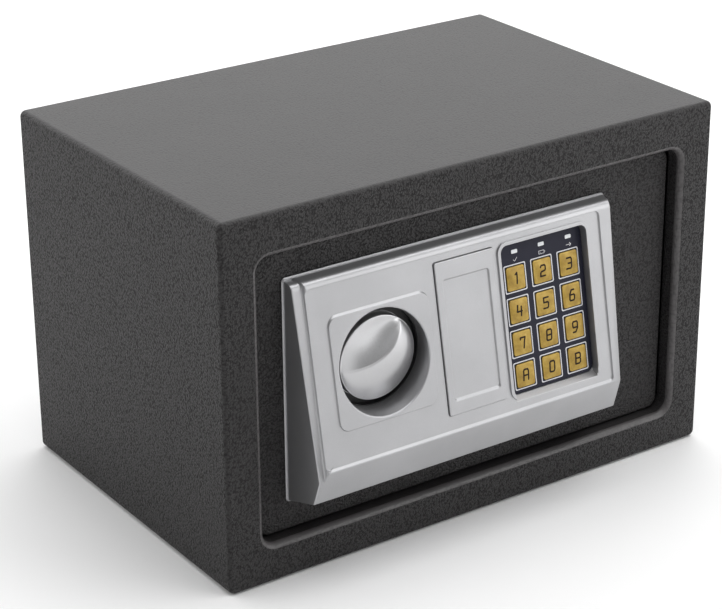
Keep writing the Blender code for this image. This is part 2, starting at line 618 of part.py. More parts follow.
def make_solenoid():
    make_group("plunger_axis", (*PLUNGER, PLUNGER_TIP), "door")
    (back, reach), (low, high), inner = STRAP_Y, STRAP_Z, STRAP_Y[0] + SHEET
    outline = [(back, low), (reach, low), (reach, low + SHEET), (inner, low + SHEET)]
    outline += [(inner, high - SHEET), (reach, high - SHEET), (reach, high), (back, high)]
    frame = add_object("solenoid_frame", extrude_x(outline, *STRAP_X), "plated_steel", "door")
    foot = [(-36, 14.4), (-32.5, 14.4), (-32.5, 11.3), (-23.4, 11.3), (-23.4, 12.8), (-31, 12.8)]
    foot += [(-31, 15.5), (-36, 15.5)]
    boolean(frame, extrude_z(foot, 125, 137), "UNION")
    bore = PLUNGER_RADIUS + 0.4
    boolean(frame, turned("Z", PLUNGER, [(low - 1, bore), (low + 2, bore)]))
    ends = (low + 1.8, high - 1.8)
    coil = turned("Z", PLUNGER, [(ends[0], 8), (ends[1], 8), (ends[1], bore), (ends[0], bore)], closed=True)
    add_object("solenoid_coil", coil, "coil_tape", "door")

    collar = (PLUNGER_TIP + 2.0, PLUNGER_TIP + 3.2)
    profile = [(PLUNGER_TIP, 2.8), (PLUNGER_TIP + 0.7, PLUNGER_RADIUS), (collar[0], PLUNGER_RADIUS)]
    profile += [(collar[0], 5.6), (collar[1], 5.6), (collar[1], PLUNGER_RADIUS), (128, PLUNGER_RADIUS)]
    add_object("plunger", turned("Z", PLUNGER, profile), "plated_steel", "plunger_axis")
    add_object("solenoid_spring", make_spring(collar[1] + GAP, low - GAP), "plated_steel", "door")


def make_key_cylinder():
    make_group("key_axis", (CYLINDER[0], CYLINDER_Y[0], CYLINDER[1]), "door")
    bore = PLUG_RADIUS + GAP
    ends = [(y, CYLINDER_RADIUS) for y in CYLINDER_Y] + [(y, bore) for y in reversed(CYLINDER_Y)]
    add_object("key_cylinder", turned("Y", CYLINDER, ends, closed=True), "brass", "door")
    nut = DOOR_BACK + GAP
    ends = [(nut, 13.5), (nut + 3, 13.5)]
    nut = add_object("cylinder_nut", turned("Y", CYLINDER, ends, 6), "plated_steel", "door")
    boolean(nut, turned("Y", CYLINDER, [(10, CYLINDER_RADIUS + GAP), (16, CYLINDER_RADIUS + GAP)]))

    shoulder = CYLINDER_Y[1] + 0.3
    profile = [(CYLINDER_Y[0], PLUG_RADIUS), (shoulder, PLUG_RADIUS), (shoulder, 4), (shoulder + 3.7, 4)]
    plug = add_object("lock_plug", turned("Y", CYLINDER, profile), "brass", "key_axis")
    x, z = CYLINDER
    boolean(plug, box((x - 1.2, x + 1.2), (CYLINDER_Y[0] - 1, 3), (z - 4, z + 4)))
    arm = link_outline(CYLINDER, 7, (x, z - 16.5), 3.5)
    cam = add_object("override_cam", slab(arm, shoulder + 0.5, shoulder + 2.5), "plated_steel", "key_axis")
    boolean(cam, turned("Y", CYLINDER, [(28, 4 + GAP), (34, 4 + GAP)], 16))


# Batteries, reset button and leads


def make_batteries():
    x, y, z, wall, floor = BATTERY_X, BATTERY_Y, BATTERY_Z, 2.0, 1.2
    inner_x, inner_z = (x[0] + wall, x[1] - wall), (z[0] + wall, z[1] - wall)
    outer, inner = rounded_outline(x, z, 2, 1), rounded_outline(inner_x, inner_z, 1, 1)
    rings = [upright(outer, y[0]), upright(outer, y[1]), upright(inner, y[1]), upright(inner, y[0] + floor)]
    case = add_object("battery_box", loft(rings), "black_plastic", "door")
    feet = bmesh.new()
    for foot in ((x[0] + 7, z[0] + 6), (x[1] - 7, z[1] - 6)):
        turned("Y", foot, [(DOOR_BACK + GAP, 4), (y[0] + 0.6, 4)], 12, bm=feet)
    boolean(case, feet, "UNION")

    pitch = (inner_x[1] - inner_x[0]) / 4
    for number in range(4):
        centre = (inner_x[0] + pitch * (number + 0.5), CELL_Y)
        ends, nub = (inner_z[0] + 0.6, inner_z[1] - 1.8), 1.1
        profile = [(ends[0], 6.4), (ends[0] + 0.7, CELL_RADIUS), (ends[1] - 0.7, CELL_RADIUS), (ends[1], 6.4)]
        profile += [(ends[1], 2.7), (ends[1] + nub, 2.7)]
        if number % 2:
            profile = [(sum(inner_z) - place, radius) for place, radius in profile]
        add_object(f"battery_{number + 1}", turned("Z", centre, profile, 16), "cell_wrap", "door")

    lid_y = (y[1] + GAP, COVER_BACK + 0.2)
    lid_x, lid_z = (x[0] + 0.8, x[1] - 0.8), (z[0] + 0.8, z[1] - 0.8)
    make_group("lid_axis", (sum(x) / 2, lid_y[1], sum(z) / 2), "door")
    lid = slab(rounded_outline(lid_x, lid_z, 1.2, 1), *lid_y)
    add_object("battery_lid", lid, "black_plastic", "lid_axis")


def make_reset_button():
    x, z = RESET
    board = add_object("reset_board", box((x - 8, x + 8), (34.4, 36), (z - 8, z + 8)), "board", "door")
    parts = box((x - 3, x + 3), (35.8, 40.3), (z - 3, z + 3))
    for leg in ((x - 5.5, z - 5.5), (x + 5.5, z + 5.5)):
        turned("Y", leg, [(35.8, 1.6), (COVER_BACK - COVER_SHEET - GAP, 1.6)], 8, bm=parts)
    boolean(board, parts, "UNION")
    flange = COVER_BACK - COVER_SHEET - GAP
    make_group("reset_axis", (x, flange, z), "door")
    profile = [(flange - 0.9, 4.4), (flange, 4.4), (flange, 3), (46.6, 3), (47.2, 2.4)]
    add_object("reset_button", turned("Y", RESET, profile, 20), "red_plastic", "reset_axis")


def smooth_route(points, steps=5):
    """Points on a smooth curve through the route's own points."""
    points = [Vector(p) for p in points]
    points = [points[0] * 2 - points[1], *points, points[-1] * 2 - points[-2]]
    route = []
    for a, b, c, d in zip(points, points[1:], points[2:], points[3:]):
        for i in range(steps):
            t = i / steps
            curve = b * 2 + (c - a) * t + (a * 2 - b * 5 + c * 4 - d) * t**2 + (b * 3 - a - c * 3 + d) * t**3
            route.append(curve / 2)
    return route + [points[-2]]


def make_lead(name, points, radius):
    empty, pivot = groups["door"]
    route = smooth_route(points)
    curve = bpy.data.curves.new(name, "CURVE")
    curve.dimensions = "3D"
    curve.bevel_depth = radius * MM
    curve.bevel_resolution = 2
    curve.use_fill_caps = True
    spline = curve.splines.new("POLY")
    spline.points.add(len(route) - 1)
    for target, point in zip(spline.points, route):
        target.co = (*(to_scene(point) - to_scene(pivot)), 1.0)
    curve.materials.append(bpy.data.materials["black_plastic"])
    lead = bpy.data.objects.new(name, curve)
    bpy.context.collection.objects.link(lead)
    lead.parent = empty


def make_leads():
    x, z = WIRE_HOLE
    route = [(-36.0, 24, 130), (-30, 23, 131), (-14, 20, 136), (8, 18, 130), (27, 16, 114)]
    route += [(x - 3, 13, z + 2), (x - 3, 8, z), (x - 3, 3, z), (x - 3, -1.4, z)]
    make_lead("solenoid_lead", route, 1.2)
    route = [(50, 24.7, 80), (50, 20, 80), (47, 16, 87), (x + 3.5, 13.5, z - 4)]
    route += [(x + 3, 8, z), (x + 3, 3, z), (x + 3, -1.4, z)]
    make_lead("battery_lead", route, 1.3)


clear_scene()
make_materials()
make_cabinet()
make_hinge_brackets()
make_strike_plate()
make_group("door", (*HINGE, 0.0), "cabinet")
make_door_plate()
make_lock_cover()
make_bezel()
make_key_cover()
make_keypad()
make_knob()
make_boltwork()
make_solenoid()
make_key_cylinder()
make_batteries()
make_reset_button()
make_leads()
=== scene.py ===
"""The in-room safe's looks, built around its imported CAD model.

Lengths are in millimetres until a mesh is made. x runs right from the cabinet's middle, y runs back
from the front face of its frame, z runs up from its base, as in the CAD model's own source.
"""

import math

import bmesh
import bpy
from mathutils import Matrix, Vector, noise


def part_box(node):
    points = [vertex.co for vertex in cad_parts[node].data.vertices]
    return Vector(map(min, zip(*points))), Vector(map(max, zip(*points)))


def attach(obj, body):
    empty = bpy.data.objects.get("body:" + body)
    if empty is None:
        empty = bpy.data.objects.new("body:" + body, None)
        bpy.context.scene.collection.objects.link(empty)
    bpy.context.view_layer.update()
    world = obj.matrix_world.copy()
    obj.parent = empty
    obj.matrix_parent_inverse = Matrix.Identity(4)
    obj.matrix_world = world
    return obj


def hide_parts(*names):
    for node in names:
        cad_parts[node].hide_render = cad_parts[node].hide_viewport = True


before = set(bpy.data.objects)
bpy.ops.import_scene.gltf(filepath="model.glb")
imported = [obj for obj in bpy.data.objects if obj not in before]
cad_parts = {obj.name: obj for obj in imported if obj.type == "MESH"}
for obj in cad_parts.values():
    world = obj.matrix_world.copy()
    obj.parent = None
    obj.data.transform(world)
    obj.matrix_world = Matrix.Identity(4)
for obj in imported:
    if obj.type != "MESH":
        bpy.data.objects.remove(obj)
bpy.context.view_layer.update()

MM = 0.001
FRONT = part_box("front_frame")[0].y  # the frame's front face, where y is 0 in this script


def node_range(node, axis):
    """The span of a CAD node along x, y or z, in this script's millimetres."""
    low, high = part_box(node)
    shift = FRONT if axis == 1 else 0.0
    return ((low[axis] - shift) / MM, (high[axis] - shift) / MM)


def spans(node):
    return [node_range(node, axis) for axis in range(3)]


def middle(node, axis):
    return sum(node_range(node, axis)) / 2


def centre_of(node, *axes):
    return tuple(middle(node, axis) for axis in axes)


WIDTH = 2 * node_range("front_frame", 0)[1]
HEIGHT = node_range("front_frame", 2)[1]
DEPTH = node_range("back_panel", 1)[1]
SHEET = 1.5
FOLD = 3.5
EDGE = 2.5
FRAME_SKIRT = node_range("front_frame", 1)[1]
BACK_SKIRT = node_range("back_panel", 1)[0]
OPENING_HALF = (134.0, 78.0)
OPENING_Z = 99.0
OPENING_CORNER = 7.5
ROLL = 3.5
WALL_END = 10.5
ANCHOR_X, ANCHOR_RADIUS = 75.0, 5.0
ANCHOR_WALL_Z, ANCHOR_FLOOR_Y = 120.0, 120.0

DOOR_PLATE = 3.0
DOOR_X, DOOR_Y, DOOR_Z = spans("door_plate")
DOOR_FRONT, DOOR_BACK = DOOR_Y[0], DOOR_Y[0] + DOOR_PLATE
HINGE = centre_of("hinge_pin_upper", 0, 1)
COVER_X, (COVER_FRONT, COVER_BACK), COVER_Z = spans("lock_cover")
COVER_SHEET = 1.2
POSTS = [centre_of(f"cover_screw_{i}", 0, 2) for i in range(1, 5)]

CASE_BASE = node_range("bezel", 1)[1]
CASE_PROFILE = [(CASE_BASE, 160.0), (-1.0, 158.8), (-19.5, 62.5), (-13.4, 44.6), (CASE_BASE, 39.1)]
CASE_X, CASE_DRAFT = (-115.5, 85.5), (0.113, 0.19)
CASE_WALL = 3.0
RELIEF = 1.0
FACE_TOP = Vector((0.0, CASE_PROFILE[1][0], CASE_PROFILE[1][1]))
FACE_DOWN = Vector((0.0, CASE_PROFILE[2][0] - CASE_PROFILE[1][0], CASE_PROFILE[2][1] - CASE_PROFILE[1][1]))
FACE_DOWN.normalize()
FACE_OUT = Vector((0.0, FACE_DOWN.z, -FACE_DOWN.y))
FIELD = (-108.5, 75.5, 3.5, 96.0)
KNOB_PLATEAU = (-98.0, -37.0, 19.0, 79.5)
KEY_COVER = (*node_range("override_cover", 0), 7.5, 88.3)
KEY_COVER_SUNK = (-27.5, 1.2, 17.5, 80.2)
WINDOW = (10.0, 66.3, 8.5, 89.5)
WINDOW_RIM = 2.0
WINDOW_SILL = ((86.0, 1.0), (93.3, 1.0), (92.6, 0.0), (89.4, -4.7), (86.0, -4.7))
LEDGE = (13.2, 63.0, 10.0, 87.0)
SIDE_WALL = ((-109.1, -2.2), (-108.1, 1.0))  # x and n of the slope beside the strip at the face's left

FILM_TOP = -4.6
KEY_TOP = -4.0
KEY_SIZE = (11.6, 12.6)
KEY_FRAME = (14.2, 15.0)
KEY_COLUMNS = [middle(f"key_{n}", 0) for n in (1, 2, 3)]
KEY_ROWS = (27.9, 45.3, 62.7, 80.0)
KEY_NAMES = (("1", "2", "3"), ("4", "5", "6"), ("7", "8", "9"), ("a", "0", "b"))
LAMPS = ("led_ready", "led_low_battery", "led_proceed")
LAMP_V, LAMP_SIZE = 13.9, (3.9, 2.0)

KNOB = centre_of("knob_shaft", 0, 2)
KNOB_RADIUS, KNOB_RIM, KNOB_BACK = 22.65, -3.7, node_range("knob", 1)[1]
CREST_CENTRE, CREST_RADIUS = (-18.5, 33.3), 35.7
WELL_RADIUS, WELL_FLOOR = 27.0, 3.5
CYLINDER = centre_of("key_cylinder", 0, 2)
CYLINDER_RADIUS, PLUG_RADIUS = 9.5, 6.0
SHAFT_BORE, GUIDE_BORE = 4.6, 2.8
GUIDE_SCREWS = ("guide_screw_upper", "guide_screw_lower")
WIRE_HOLE, WIRE_HOLE_RADIUS = (38.0, 100.0), 6.0

# Camera
CAMERA_PLACE = (-0.668125, -0.967082, 0.597937)
CAMERA_AZIMUTH, CAMERA_ELEVATION, CAMERA_ROLL = -34.452, 23.617, -0.425
CAMERA_LENS, SENSOR = 115.53, 36.0


# Shader nodes


def new_material(name):
    material = bpy.data.materials.new(name)
    material.use_nodes = True
    tree = material.node_tree
    return material, tree, tree.nodes["Principled BSDF"]


def feed(socket, value):
    """Links a value that is a socket itself, and sets any other."""
    if isinstance(value, bpy.types.NodeSocket):
        socket.id_data.links.new(value, socket)
    else:
        socket.default_value = value


def add_node(tree, kind, inputs=None, **settings):
    node = tree.nodes.new("ShaderNode" + kind)
    for name, value in settings.items():
        setattr(node, name, value)
    for name, value in (inputs or {}).items():
        feed(node.inputs[name], value)
    return node


def object_coordinates(tree, stretch=(1.0, 1.0, 1.0)):
    coordinates = add_node(tree, "TexCoord").outputs["Object"]
    return add_node(tree, "Mapping", {"Vector": coordinates, "Scale": stretch}).outputs["Vector"]


def noise_value(tree, place, size, detail=2.0, roughness=0.5, distortion=0.0):
    """Noise whose features are about size millimetres across."""
    settings = {"Vector": place, "Scale": 1.0 / (size * MM), "Detail": detail}
    settings.update({"Roughness": roughness, "Distortion": distortion})
    return add_node(tree, "TexNoise", settings).outputs["Fac"]


def ramp(tree, value, stops):
    """A colour ramp through (position, colour) stops; a number stands for a grey."""
    node = add_node(tree, "ValToRGB", {"Fac": value})
    elements = node.color_ramp.elements
    while len(elements) < len(stops):
        elements.new(0.5)
    for element, (position, colour) in zip(elements, stops):
        element.position = position
        element.color = (*((colour,) * 3 if isinstance(colour, float) else colour), 1.0)
    return node.outputs["Color"]


def maths(tree, operation, *values):
    node = add_node(tree, "Math", operation=operation)
    for socket, value in zip(node.inputs, values):
        feed(socket, value)
    return node.outputs["Value"]


def weighted(tree, first, share, second, other_share):
    """The sum of two values, each times its share."""
    parts = maths(tree, "MULTIPLY", first, share), maths(tree, "MULTIPLY", second, other_share)
    return maths(tree, "ADD", *parts)


def tinted(tree, value, shade, low, high):
    """The shade times low where the value is low, up to the shade times high."""
    stops = [(place, tuple(min(1.0, c * scale) for c in shade)) for place, scale in ((0.3, low), (0.7, high))]
    return ramp(tree, value, stops)


def set_shader(shader, **values):
    names = {"colour": "Base Color", "roughness": "Roughness", "metallic": "Metallic", "coat": "Coat Weight"}
    names.update({"coat_roughness": "Coat Roughness", "specular": "Specular IOR Level"})
    names["sheen"] = "Sheen Weight"
    for name, value in values.items():
        feed(shader.inputs[names[name]], value)


def set_bump(shader, height, depth, strength=1.0):
    """Bump of that depth in millimetres."""
    settings = {"Height": height, "Distance": depth * MM, "Strength": strength}
    feed(shader.inputs["Normal"], add_node(shader.id_data, "Bump", settings).outputs["Normal"])


def powder_coat(name, shade, cell, depth, dip_shade=0.68, gloss=0.49):
    """Wrinkled powder coat: small domes with matt creases darkened by painted shade, flatter on faces that
    look up.
    """
    material, tree, shader = new_material(name)
    place = object_coordinates(tree)
    warp = add_node(tree, "TexNoise", {"Vector": place, "Scale": 1.0 / (2.2 * cell * MM), "Detail": 1.0})

    def vector(operation, inputs):
        return add_node(tree, "VectorMath", inputs, operation=operation).outputs["Vector"]

    shifted = vector("SUBTRACT", {0: warp.outputs["Color"], 1: (0.5, 0.5, 0.5)})
    warped = vector("ADD", {0: place, 1: vector("SCALE", {0: shifted, "Scale": 1.4 * cell * MM})})
    settings = {"Vector": warped, "Scale": 1.0 / (cell * MM), "Smoothness": 0.15}
    cells = add_node(tree, "TexVoronoi", settings, feature="SMOOTH_F1")
    normal = add_node(tree, "TexCoord").outputs["Normal"]
    upward = maths(tree, "MAXIMUM", add_node(tree, "SeparateXYZ", {"Vector": normal}).outputs["Z"], 0.0)
    relief = maths(tree, "SUBTRACT", 1.0, maths(tree, "MULTIPLY", upward, 0.85))
    domes = ramp(tree, cells.outputs["Distance"], [(0.2, 1.0), (0.5, 0.75), (0.8, 0.0)])
    grain = noise_value(tree, place, 0.6 * cell, 2.0, 0.6)
    set_bump(shader, maths(tree, "ADD", maths(tree, "MULTIPLY", grain, 0.7), domes), depth, relief)
    # Painted shade: the creases between the domes get a darker colour and less specular. This fades on faces
    # that look up.
    shaded_dips = maths(tree, "MULTIPLY", maths(tree, "SUBTRACT", 1.0, domes), relief)
    wide = tinted(tree, noise_value(tree, place, 28.0, 3.0), shade, 0.9, 1.1)
    deep = (*(c * dip_shade for c in shade), 1.0)
    colour = add_node(tree, "Mix", {"Factor": shaded_dips, 6: wide, 7: deep}, data_type="RGBA").outputs[2]
    rough = ramp(tree, shaded_dips, [(0.0, gloss), (0.8, gloss + 0.25)])
    specular = ramp(tree, shaded_dips, [(0.1, 0.5), (0.9, 0.5 * dip_shade)])
    set_shader(shader, colour=colour, roughness=rough, specular=specular)
    return material


def metallic_paint(name, shade, roughness, metallic):
    """Sprayed silver: fine flake, a faint orange peel and soft dust in the finish."""
    material, tree, shader = new_material(name)
    place = object_coordinates(tree)
    flake = noise_value(tree, place, 0.16, 1.0)
    mixed = weighted(tree, flake, 0.6, noise_value(tree, place, 22.0, 3.0), 0.4)
    colour = tinted(tree, mixed, shade, 0.9, 1.08)
    rough = ramp(tree, flake, [(0.2, roughness - 0.05), (0.8, roughness + 0.06)])
    set_bump(shader, weighted(tree, noise_value(tree, place, 1.6, 2.0), 1.0, flake, 0.25), 0.012)
    set_shader(shader, colour=colour, roughness=rough, metallic=metallic, coat=0.15, coat_roughness=0.25)
    return material


def worked_metal(name, shade, roughness, stretch=(1.0, 1.0, 1.0), depth=0.01, metallic=1.0):
    """Bare or plated metal with drawn lines along the axis of the smallest stretch."""
    material, tree, shader = new_material(name)
    lines = noise_value(tree, object_coordinates(tree, stretch), 0.5, 3.0, 0.6)
    stain = noise_value(tree, object_coordinates(tree), 9.0, 4.0, 0.55)
    rough = ramp(tree, lines, [(0.25, roughness - 0.07), (0.75, roughness + 0.1)])
    set_bump(shader, lines, depth)
    set_shader(shader, colour=tinted(tree, stain, shade, 0.8, 1.1), roughness=rough, metallic=metallic)
    return material


def moulded_plastic(name, shade, roughness, grain=0.5, depth=0.02, coat=0.0, specular=0.5):
    """Plastic with a spark-eroded grain and slight unevenness of colour."""
    material, tree, shader = new_material(name)
    place = object_coordinates(tree)
    fine = noise_value(tree, place, grain, 2.0, 0.6)
    colour = tinted(tree, noise_value(tree, place, 14.0, 2.0), shade, 0.88, 1.12)
    rough = ramp(tree, fine, [(0.3, roughness - 0.05), (0.7, roughness + 0.08)])
    set_bump(shader, fine, depth)
    set_shader(shader, colour=colour, roughness=rough, coat=coat, coat_roughness=0.12, specular=specular)
    return material


def felt_material():
    material, tree, shader = new_material("needle_felt")
    fibres = [
        noise_value(tree, object_coordinates(tree, stretch), 0.7, 4.0, 0.7, 1.2)
        for stretch in ((1.0, 0.22, 1.0), (0.22, 1.0, 1.0))
    ]
    matted = weighted(tree, fibres[0], 0.5, fibres[1], 0.5)
    mixed = weighted(tree, matted, 0.75, noise_value(tree, object_coordinates(tree), 6.0, 3.0), 0.25)
    colours = [(0.35, (0.012, 0.012, 0.014)), (0.55, (0.035, 0.035, 0.04)), (0.75, (0.09, 0.09, 0.1))]
    set_bump(shader, matted, 0.5)
    set_shader(shader, colour=ramp(tree, mixed, colours), roughness=0.95, sheen=0.4)
    return material


def circuit_board_material():
    """Green solder mask over copper tracks, which run as a faint raised maze."""
    material, tree, shader = new_material("circuit_board")
    settings = {"Vector": object_coordinates(tree), "Scale": 1.0 / (6.0 * MM), "Mortar Size": 0.03}
    settings.update({"Color1": (0.012, 0.10, 0.035, 1.0), "Color2": (0.010, 0.085, 0.03, 1.0)})
    settings["Mortar"] = (0.03, 0.20, 0.07, 1.0)
    tracks = add_node(tree, "TexBrick", settings)
    set_bump(shader, tracks.outputs["Fac"], 0.04)
    set_shader(shader, colour=tracks.outputs["Color"], roughness=0.35, coat=0.3, coat_roughness=0.2)
    return material


def gold_film_material():
    """Gold printed behind a clear film, with a cloudy ground and a fine flake."""
    material, tree, shader = new_material("gold_film")
    place = object_coordinates(tree)
    flake = noise_value(tree, place, 0.22, 1.0)
    mixed = weighted(tree, noise_value(tree, place, 5.0, 3.0, 0.6), 0.8, flake, 0.2)
    colours = [(0.3, (0.25, 0.15, 0.015)), (0.5, (0.36, 0.23, 0.03)), (0.72, (0.48, 0.33, 0.07))]
    set_bump(shader, flake, 0.01)
    colour = ramp(tree, mixed, colours)
    set_shader(shader, colour=colour, roughness=0.4, metallic=0.45, coat=0.25, coat_roughness=0.2)
    return material


MATERIALS = {
    "charcoal": powder_coat("charcoal_powder_coat", (0.0195, 0.0178, 0.0183), 1.12, 0.6),
    # A lighter charcoal for the opening's rolled edge: a painted highlight along the roll.
    "rolled": powder_coat("rolled_edge_coat", (0.08, 0.075, 0.076), 1.7, 0.15, 0.8, 0.3),
    "inner_coat": powder_coat("inner_powder_coat", (0.022, 0.0205, 0.021), 1.6, 0.2),
    "silver": metallic_paint("silver_paint", (0.42, 0.42, 0.431), 0.36, 0.8),
    "knob": metallic_paint("knob_silver", (0.55, 0.55, 0.56), 0.3, 0.85),
    "zinc": worked_metal("zinc_plated_steel", (0.56, 0.56, 0.53), 0.34, (1.0, 0.25, 1.0)),
    "chrome": worked_metal("turned_bolt_steel", (0.66, 0.66, 0.66), 0.2, (0.15, 1.0, 1.0), 0.006),
    "brass": worked_metal("turned_brass", (0.60, 0.43, 0.18), 0.3, (1.0, 0.2, 1.0), 0.008),
    "copper_winding": worked_metal("winding_tape", (0.42, 0.22, 0.05), 0.42, (0.2, 0.2, 1.0), 0.03, 0.15),
    "film": moulded_plastic("keypad_film", (0.014, 0.0145, 0.027), 0.45, 0.3, 0.008, 0.0, 0.2),
    "ink": moulded_plastic("legend_ink", (0.018, 0.008, 0.003), 0.6, 0.2, 0.005, 0.0, 0.2),
    "silver_ink": metallic_paint("silver_ink", (0.62, 0.62, 0.64), 0.4, 0.2),
    "gold": gold_film_material(),
    "lamp": moulded_plastic("lamp_window", (0.80, 0.82, 0.84), 0.25, 0.4, 0.01, 0.4),
    "black": moulded_plastic("black_plastic", (0.018, 0.018, 0.019), 0.48, 0.45, 0.03),
    "red": moulded_plastic("red_plastic", (0.48, 0.018, 0.012), 0.35, 0.5, 0.01, 0.3),
    "wrap": moulded_plastic("cell_wrap", (0.03, 0.05, 0.11), 0.3, 0.6, 0.008, 0.5),
    "wrap_band": moulded_plastic("cell_band", (0.46, 0.47, 0.50), 0.3, 0.6, 0.008, 0.5),
    "felt": felt_material(),
    "board": circuit_board_material(),
}


# Points and outlines


def to_scene(point):
    return Vector((point[0] * MM, point[1] * MM + FRONT, point[2] * MM))


def arc(centre, radius, start, end, steps):
    """Points on an arc, with angles in degrees."""
    angles = [math.radians(start + (end - start) * i / steps) for i in range(steps + 1)]
    return [(centre[0] + radius * math.cos(a), centre[1] + radius * math.sin(a)) for a in angles]


def circle(centre, radius, steps):
    return arc(centre, radius, 0, 360, steps)[:-1]


def rounded_outline(x, z, radius, steps=8):
    corners = [
        ((x[1] - radius, z[1] - radius), 0),
        ((x[0] + radius, z[1] - radius), 90),
        ((x[0] + radius, z[0] + radius), 180),
        ((x[1] - radius, z[0] + radius), 270),
    ]
    return [point for centre, start in corners for point in arc(centre, radius, start, start + 90, steps)]


def upright(outline, y):
    return [(x, y, z) for x, z in outline]


def face_point(x, v, n):
    """A point from the case's sloping face: v down it, n out of it."""
    return FACE_TOP + Vector((x, 0.0, 0.0)) + FACE_DOWN * v + FACE_OUT * n


def centred(x, v, size):
    return (x - size[0] / 2, x + size[0] / 2, v - size[1] / 2, v + size[1] / 2)


# Solids. Each adds one closed body to bm, or to a new bmesh.


def loft(rings, closed=False, bm=None):
    """A skin over a row of rings, capped at both ends unless the row closes on itself."""
    bm = bm or bmesh.new()
    rows = [[bm.verts.new(point) for point in ring] for ring in rings]
    faces = []
    for low, high in zip(rows, rows[1:] + rows[:1] if closed else rows[1:]):
        for i in range(len(low)):
            j = (i + 1) % len(low)
            faces.append(bm.faces.new((low[i], low[j], high[j], high[i])))
    if not closed:
        faces += [bm.faces.new(rows[0]), bm.faces.new(rows[-1])]
    bmesh.ops.recalc_face_normals(bm, faces=faces)
    return bm


def grid_faces(bm, rows):
    for low, high in zip(rows, rows[1:]):
        for j in range(len(low) - 1):
            bm.faces.new((low[j], high[j], high[j + 1], low[j + 1]))


def open_edges(items):
    return [item for item in items if isinstance(item, bmesh.types.BMEdge) and item.is_boundary]


def extrude(bm, border):
    """Extrudes the border and returns its new vertices and its new border."""
    made = bmesh.ops.extrude_edge_only(bm, edges=border)["geom"]
    return [item for item in made if isinstance(item, bmesh.types.BMVert)], open_edges(made)


def slab(outline, y_from, y_to, bm=None):
    return loft([upright(outline, y_from), upright(outline, y_to)], bm=bm)


def box(x, y, z, bm=None):
    return slab([(x[0], z[0]), (x[1], z[0]), (x[1], z[1]), (x[0], z[1])], y[0], y[1], bm)


def turned(axis, centre, profile, steps=48, closed=False, bm=None):
    """A turned body from (place along the axis, radius) pairs, about an axis X, Y or Z."""

    def ring(place, radius):
        points = circle(centre, radius, steps)
        if axis == "X":
            return [(place, a, b) for a, b in points]
        if axis == "Y":
            return [(a, place, b) for a, b in points]
        return [(a, b, place) for a, b in points]

    return loft([ring(place, radius) for place, radius in profile], closed, bm)


def softened(profile, radius, steps=4):
    """Rounds the corners of a turned profile, except its two ends."""
    points = [Vector(p) for p in profile]
    rounded = [points[0]]
    for before, corner, after in zip(points, points[1:], points[2:]):
        reach = min(radius, (before - corner).length / 2.1, (after - corner).length / 2.1)
        start = corner + (before - corner).normalized() * reach
        end = corner + (after - corner).normalized() * reach
        for i in range(steps + 1):
            t = i / steps
            rounded.append(start * (1 - t) ** 2 + corner * (2 * t * (1 - t)) + end * t**2)
    return [tuple(p) for p in rounded + [points[-1]]]


def face_slab(area, radius, n_from, n_to, grow=0.0, steps=8, bm=None):
    """A round-cornered block on the case's face, over area let out by grow on each side."""
    x, v = (area[0] - grow, area[1] + grow), (area[2] - grow, area[3] + grow)
    outline = rounded_outline(x, v, radius + max(grow, 0.0), steps)
    return loft([[face_point(a, b, n) for a, b in outline] for n in (n_from, n_to)], bm=bm)


def tube(points, radius, sides=8, bm=None, swell=None):
    """A closed tube along points; swell(i) scales its radius at point i."""
    points = [Vector(p) for p in points]
    rings = []
    side = None
    for i, point in enumerate(points):
        ahead = (points[min(i + 1, len(points) - 1)] - points[max(i - 1, 0)]).normalized()
        if side is None:
            side = ahead.orthogonal().normalized()
        side = (side - ahead * side.dot(ahead)).normalized()
        up = ahead.cross(side)
        r = radius * (swell(i) if swell else 1.0)
        angles = [2 * math.pi * k / sides for k in range(sides)]
        rings.append([point + side * (r * math.cos(a)) + up * (r * math.sin(a)) for a in angles])
    return loft(rings, bm=bm)


# Objects


def make_object(name, bm, material):
    for vert in bm.verts:
        vert.co = to_scene(vert.co)
    mesh = bpy.data.meshes.new(name)
    bm.to_mesh(mesh)
    bm.free()
    mesh.materials.append(MATERIALS[material])
    obj = bpy.data.objects.new(name, mesh)
    bpy.context.collection.objects.link(obj)
    return obj


def apply_modifiers(obj):
    """Keeps the evaluated mesh and drops the modifiers."""
    graph = bpy.context.evaluated_depsgraph_get()
    graph.update()
    mesh = bpy.data.meshes.new_from_object(obj.evaluated_get(graph))
    obj.modifiers.clear()
    obj.data = mesh


def cut(obj, *shapes, operation="DIFFERENCE", flatten=True):
    """Cuts each shape from the object, or joins it on; flatten merges the faces that lie in one plane."""
    for bm in shapes:
        tool = make_object("tool", bm, "zinc")
        modifier = obj.modifiers.new("cut", "BOOLEAN")
        modifier.operation = operation
        modifier.object = tool
        apply_modifiers(obj)
        bpy.data.objects.remove(tool)
    clean = bmesh.new()
    clean.from_mesh(obj.data)
    bmesh.ops.remove_doubles(clean, verts=clean.verts, dist=0.002 * MM)
    if flatten:
        bmesh.ops.dissolve_limit(clean, angle_limit=math.radians(0.4), verts=clean.verts, edges=clean.edges)
    clean.to_mesh(obj.data)
    clean.free()
    return obj


def round_edges(obj, width, segments=3, angle=32, clamp=True):
    """Rounds every edge sharper than angle, and weights the normals to the large faces."""
    bevel = obj.modifiers.new("round", "BEVEL")
    bevel.width = width * MM
    bevel.segments = segments
    bevel.limit_method = "ANGLE"
    bevel.angle_limit = math.radians(angle)
    bevel.miter_outer = "MITER_ARC"
    bevel.use_clamp_overlap = clamp
    apply_modifiers(obj)
    return smooth(obj, weighted=True)


def smooth(obj, angle=40, weighted=False):
    obj.data.shade_smooth()
    obj.data.set_sharp_from_angle(angle=math.radians(angle))
    if weighted:
        obj.modifiers.new("normals", "WEIGHTED_NORMAL").keep_sharp = True
        apply_modifiers(obj)
    return obj


def keep(obj, body, slot, *nodes):
    """Puts the finished piece on its body, in place of its CAD nodes."""
    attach(obj, body)
    if nodes:
        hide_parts(*nodes)


